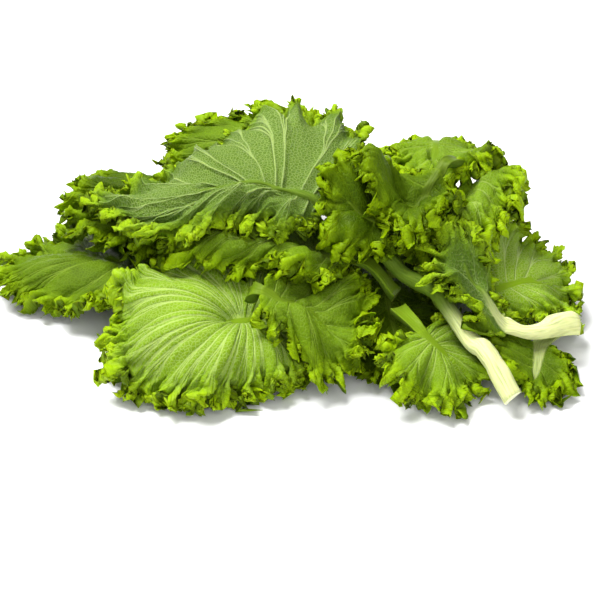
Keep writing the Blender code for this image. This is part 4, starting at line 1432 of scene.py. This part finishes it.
class GreensColours(bpy.types.PropertyGroup):
    """The colours of the leaves and stalks."""

    # The old upper side's deep green is also the painted shade in the frills' hollows, and with the dark
    # tones the painted shade of leaves deep in the heap.
    upper_deep: colour_property("Upper, old", "The upper side of an old leaf", "#2e4400")
    upper_young: colour_property("Upper, young", "The upper side of a young leaf", "#74960a")
    upper_vein: colour_property("Upper vein", "The veins on the upper side", "#b8cc7c")
    under_deep: colour_property("Underside, old", "The underside of an old leaf", "#34500a")
    under_young: colour_property("Underside, young", "The underside of a young leaf", "#55721c")
    under_vein: colour_property("Underside vein", "The veins on the underside", "#a6ba70")
    edge: colour_property("Edge", "The frilled edge", "#8eae02")
    midrib: colour_property("Midrib", "The midrib, and the stalk where it has stayed green", "#74882c")
    stalk: colour_property("Stalk", "The stalk near its cut end", "#dde2a0")
    flesh: colour_property("Flesh", "The flesh of the cut end", "#e8ebc4")


class GreensStage(bpy.types.PropertyGroup):
    """The floor, the lights and the camera."""

    floor_colour: colour_property("Floor", "The floor and the backdrop", "#fafafa")
    camera_distance: length_property("Camera distance", "From the camera to the heap", 1.5)
    camera_elevation: FloatProperty(
        name="Elevation",
        description="How steeply the camera looks down",
        default=math.radians(33),
        subtype="ANGLE",
    )
    lens: FloatProperty(name="Lens", description="The camera's focal length", default=115, unit="CAMERA")


class LeafOperator:
    """What the operators that make leaves share. The leaves are made from the bottom of the heap to its
    top."""

    bl_options = {"REGISTER", "UNDO"}
    names = ()

    def execute(self, context):
        for name in self.names:
            build_leaf(name)
        return {"FINISHED"}


class GREENS_OT_bottom_leaves(LeafOperator, bpy.types.Operator):
    """Makes the leaves that the others lie on, and the one that reaches out to the left"""

    bl_idname = "greens.bottom_leaves"
    bl_label = "Bottom leaves"
    names = ("leaf_back_left", "leaf_back_right", "leaf_far_left", "leaf_left_low", "leaf_front_low")


class GREENS_OT_front_leaves(LeafOperator, bpy.types.Operator):
    """Makes the fans along the front and the leaves at the right"""

    bl_idname = "greens.front_leaves"
    bl_label = "Front leaves"
    names = ("leaf_front", "leaf_front_right", "leaf_right_low", "leaf_right", "leaf_front_middle")


class GREENS_OT_back_leaves(LeafOperator, bpy.types.Operator):
    """Makes the folded leaf in the middle and the leaves at the back"""

    bl_idname = "greens.back_leaves"
    bl_label = "Back leaves"
    names = ("leaf_middle", "leaf_back", "leaf_back_middle", "leaf_right_back", "leaf_right_high",
             "leaf_back_high")


class GREENS_OT_top_leaves(LeafOperator, bpy.types.Operator):
    """Makes the great leaf that lies underside up with its cut stalk, and the curled leaves beside it"""

    bl_idname = "greens.top_leaves"
    bl_label = "Top leaves"
    names = ("leaf_top", "leaf_right_mid", "leaf_centre_low", "leaf_centre")


# The stage: the floor, and large soft lights, each a place, a size and a power, all in metres and watts,
# how bright the white surroundings are, and the width of the camera's film in millimetres.
FLOOR_SIZE = 6.0
FLOOR_DROP = 0.0003
FLOOR_ROUGHNESS = 0.7
LIGHTS = (((-0.55, 0.25, 1.6), 1.0, 60.0), ((0.3, -1.5, 1.1), 1.5, 18.0))
SKY = 0.3
SKY_COLOUR = "#ffffff"
FILM_WIDTH = 36


class GREENS_OT_stage(bpy.types.Operator):
    """Makes the pale floor, the soft studio light and the camera"""

    bl_idname = "greens.stage"
    bl_label = "Stage"
    bl_options = {"REGISTER", "UNDO"}

    def execute(self, context):
        stage = context.scene.greens_stage
        corners = np.array([(-1, -1, 0), (1, -1, 0), (1, 1, 0), (-1, 1, 0)]) * FLOOR_SIZE / 2
        mesh = bpy.data.meshes.new("floor")
        mesh.from_pydata((corners - (0, 0, FLOOR_DROP)).tolist(), [], [(0, 1, 2, 3)])
        # A pale matt board, which gives the eye soft shadows and no reflections.
        material, _, _, shader = new_material("pale floor")
        shader["Base Color"].default_value = (*stage.floor_colour, 1)
        shader["Roughness"].default_value = FLOOR_ROUGHNESS
        mesh.materials.append(material)
        floor = bpy.data.objects.new("floor", mesh)
        context.scene.collection.objects.link(floor)
        world = bpy.data.worlds.new("studio")
        world.use_nodes = True
        sky = world.node_tree.nodes["Background"].inputs
        sky["Color"].default_value = linear(SKY_COLOUR)
        sky["Strength"].default_value = SKY
        context.scene.world = world
        for number, (place, size, power) in enumerate(LIGHTS):
            light = bpy.data.lights.new(f"soft_light_{number}", "AREA")
            light.size, light.energy = size, power
            lamp = bpy.data.objects.new(light.name, light)
            lamp.location = place
            lamp.rotation_euler = (-Vector(place)).to_track_quat("-Z", "Y").to_euler()
            context.scene.collection.objects.link(lamp)
        camera = bpy.data.objects.new("camera", bpy.data.cameras.new("camera"))
        camera.data.lens, camera.data.sensor_width = stage.lens, FILM_WIDTH
        aim = Vector(-heap().centre * MM)
        back = Vector((0, -math.cos(stage.camera_elevation), math.sin(stage.camera_elevation)))
        camera.location = aim + back * stage.camera_distance
        camera.rotation_euler = (-back).to_track_quat("-Z", "Y").to_euler()
        context.scene.collection.objects.link(camera)
        context.scene.camera = camera
        context.scene.view_settings.view_transform = "Standard"
        return {"FINISHED"}


class GREENS_PT_panel(bpy.types.Panel):
    """Lists the pieces of the heap in the order that they are made"""

    bl_label = "Mustard greens"
    bl_idname = "GREENS_PT_panel"
    bl_space_type = "VIEW_3D"
    bl_region_type = "UI"
    bl_category = "Greens"

    def draw(self, context):
        for operator in OPERATORS:
            self.layout.operator(operator.bl_idname)
        for name, group in GROUPS.items():
            box = self.layout.box()
            for setting in group.__annotations__:
                box.prop(getattr(context.scene, name), setting)


GROUPS = {"greens_sizes": GreensSizes, "greens_colours": GreensColours, "greens_stage": GreensStage}
OPERATORS = (
    GREENS_OT_bottom_leaves,
    GREENS_OT_front_leaves,
    GREENS_OT_back_leaves,
    GREENS_OT_top_leaves,
    GREENS_OT_stage,
)


def register():
    for made in (*GROUPS.values(), *OPERATORS, GREENS_PT_panel):
        bpy.utils.register_class(made)
    for name, group in GROUPS.items():
        setattr(bpy.types.Scene, name, PointerProperty(type=group))


def unregister():
    for name in GROUPS:
        delattr(bpy.types.Scene, name)
    for made in (GREENS_PT_panel, *OPERATORS[::-1], *reversed(GROUPS.values())):
        bpy.utils.unregister_class(made)


def main():
    register()
    bpy.ops.greens.bottom_leaves()
    bpy.ops.greens.front_leaves()
    bpy.ops.greens.back_leaves()
    bpy.ops.greens.top_leaves()
    bpy.ops.greens.stage()
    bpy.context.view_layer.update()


if __name__ == "__main__":
    main()
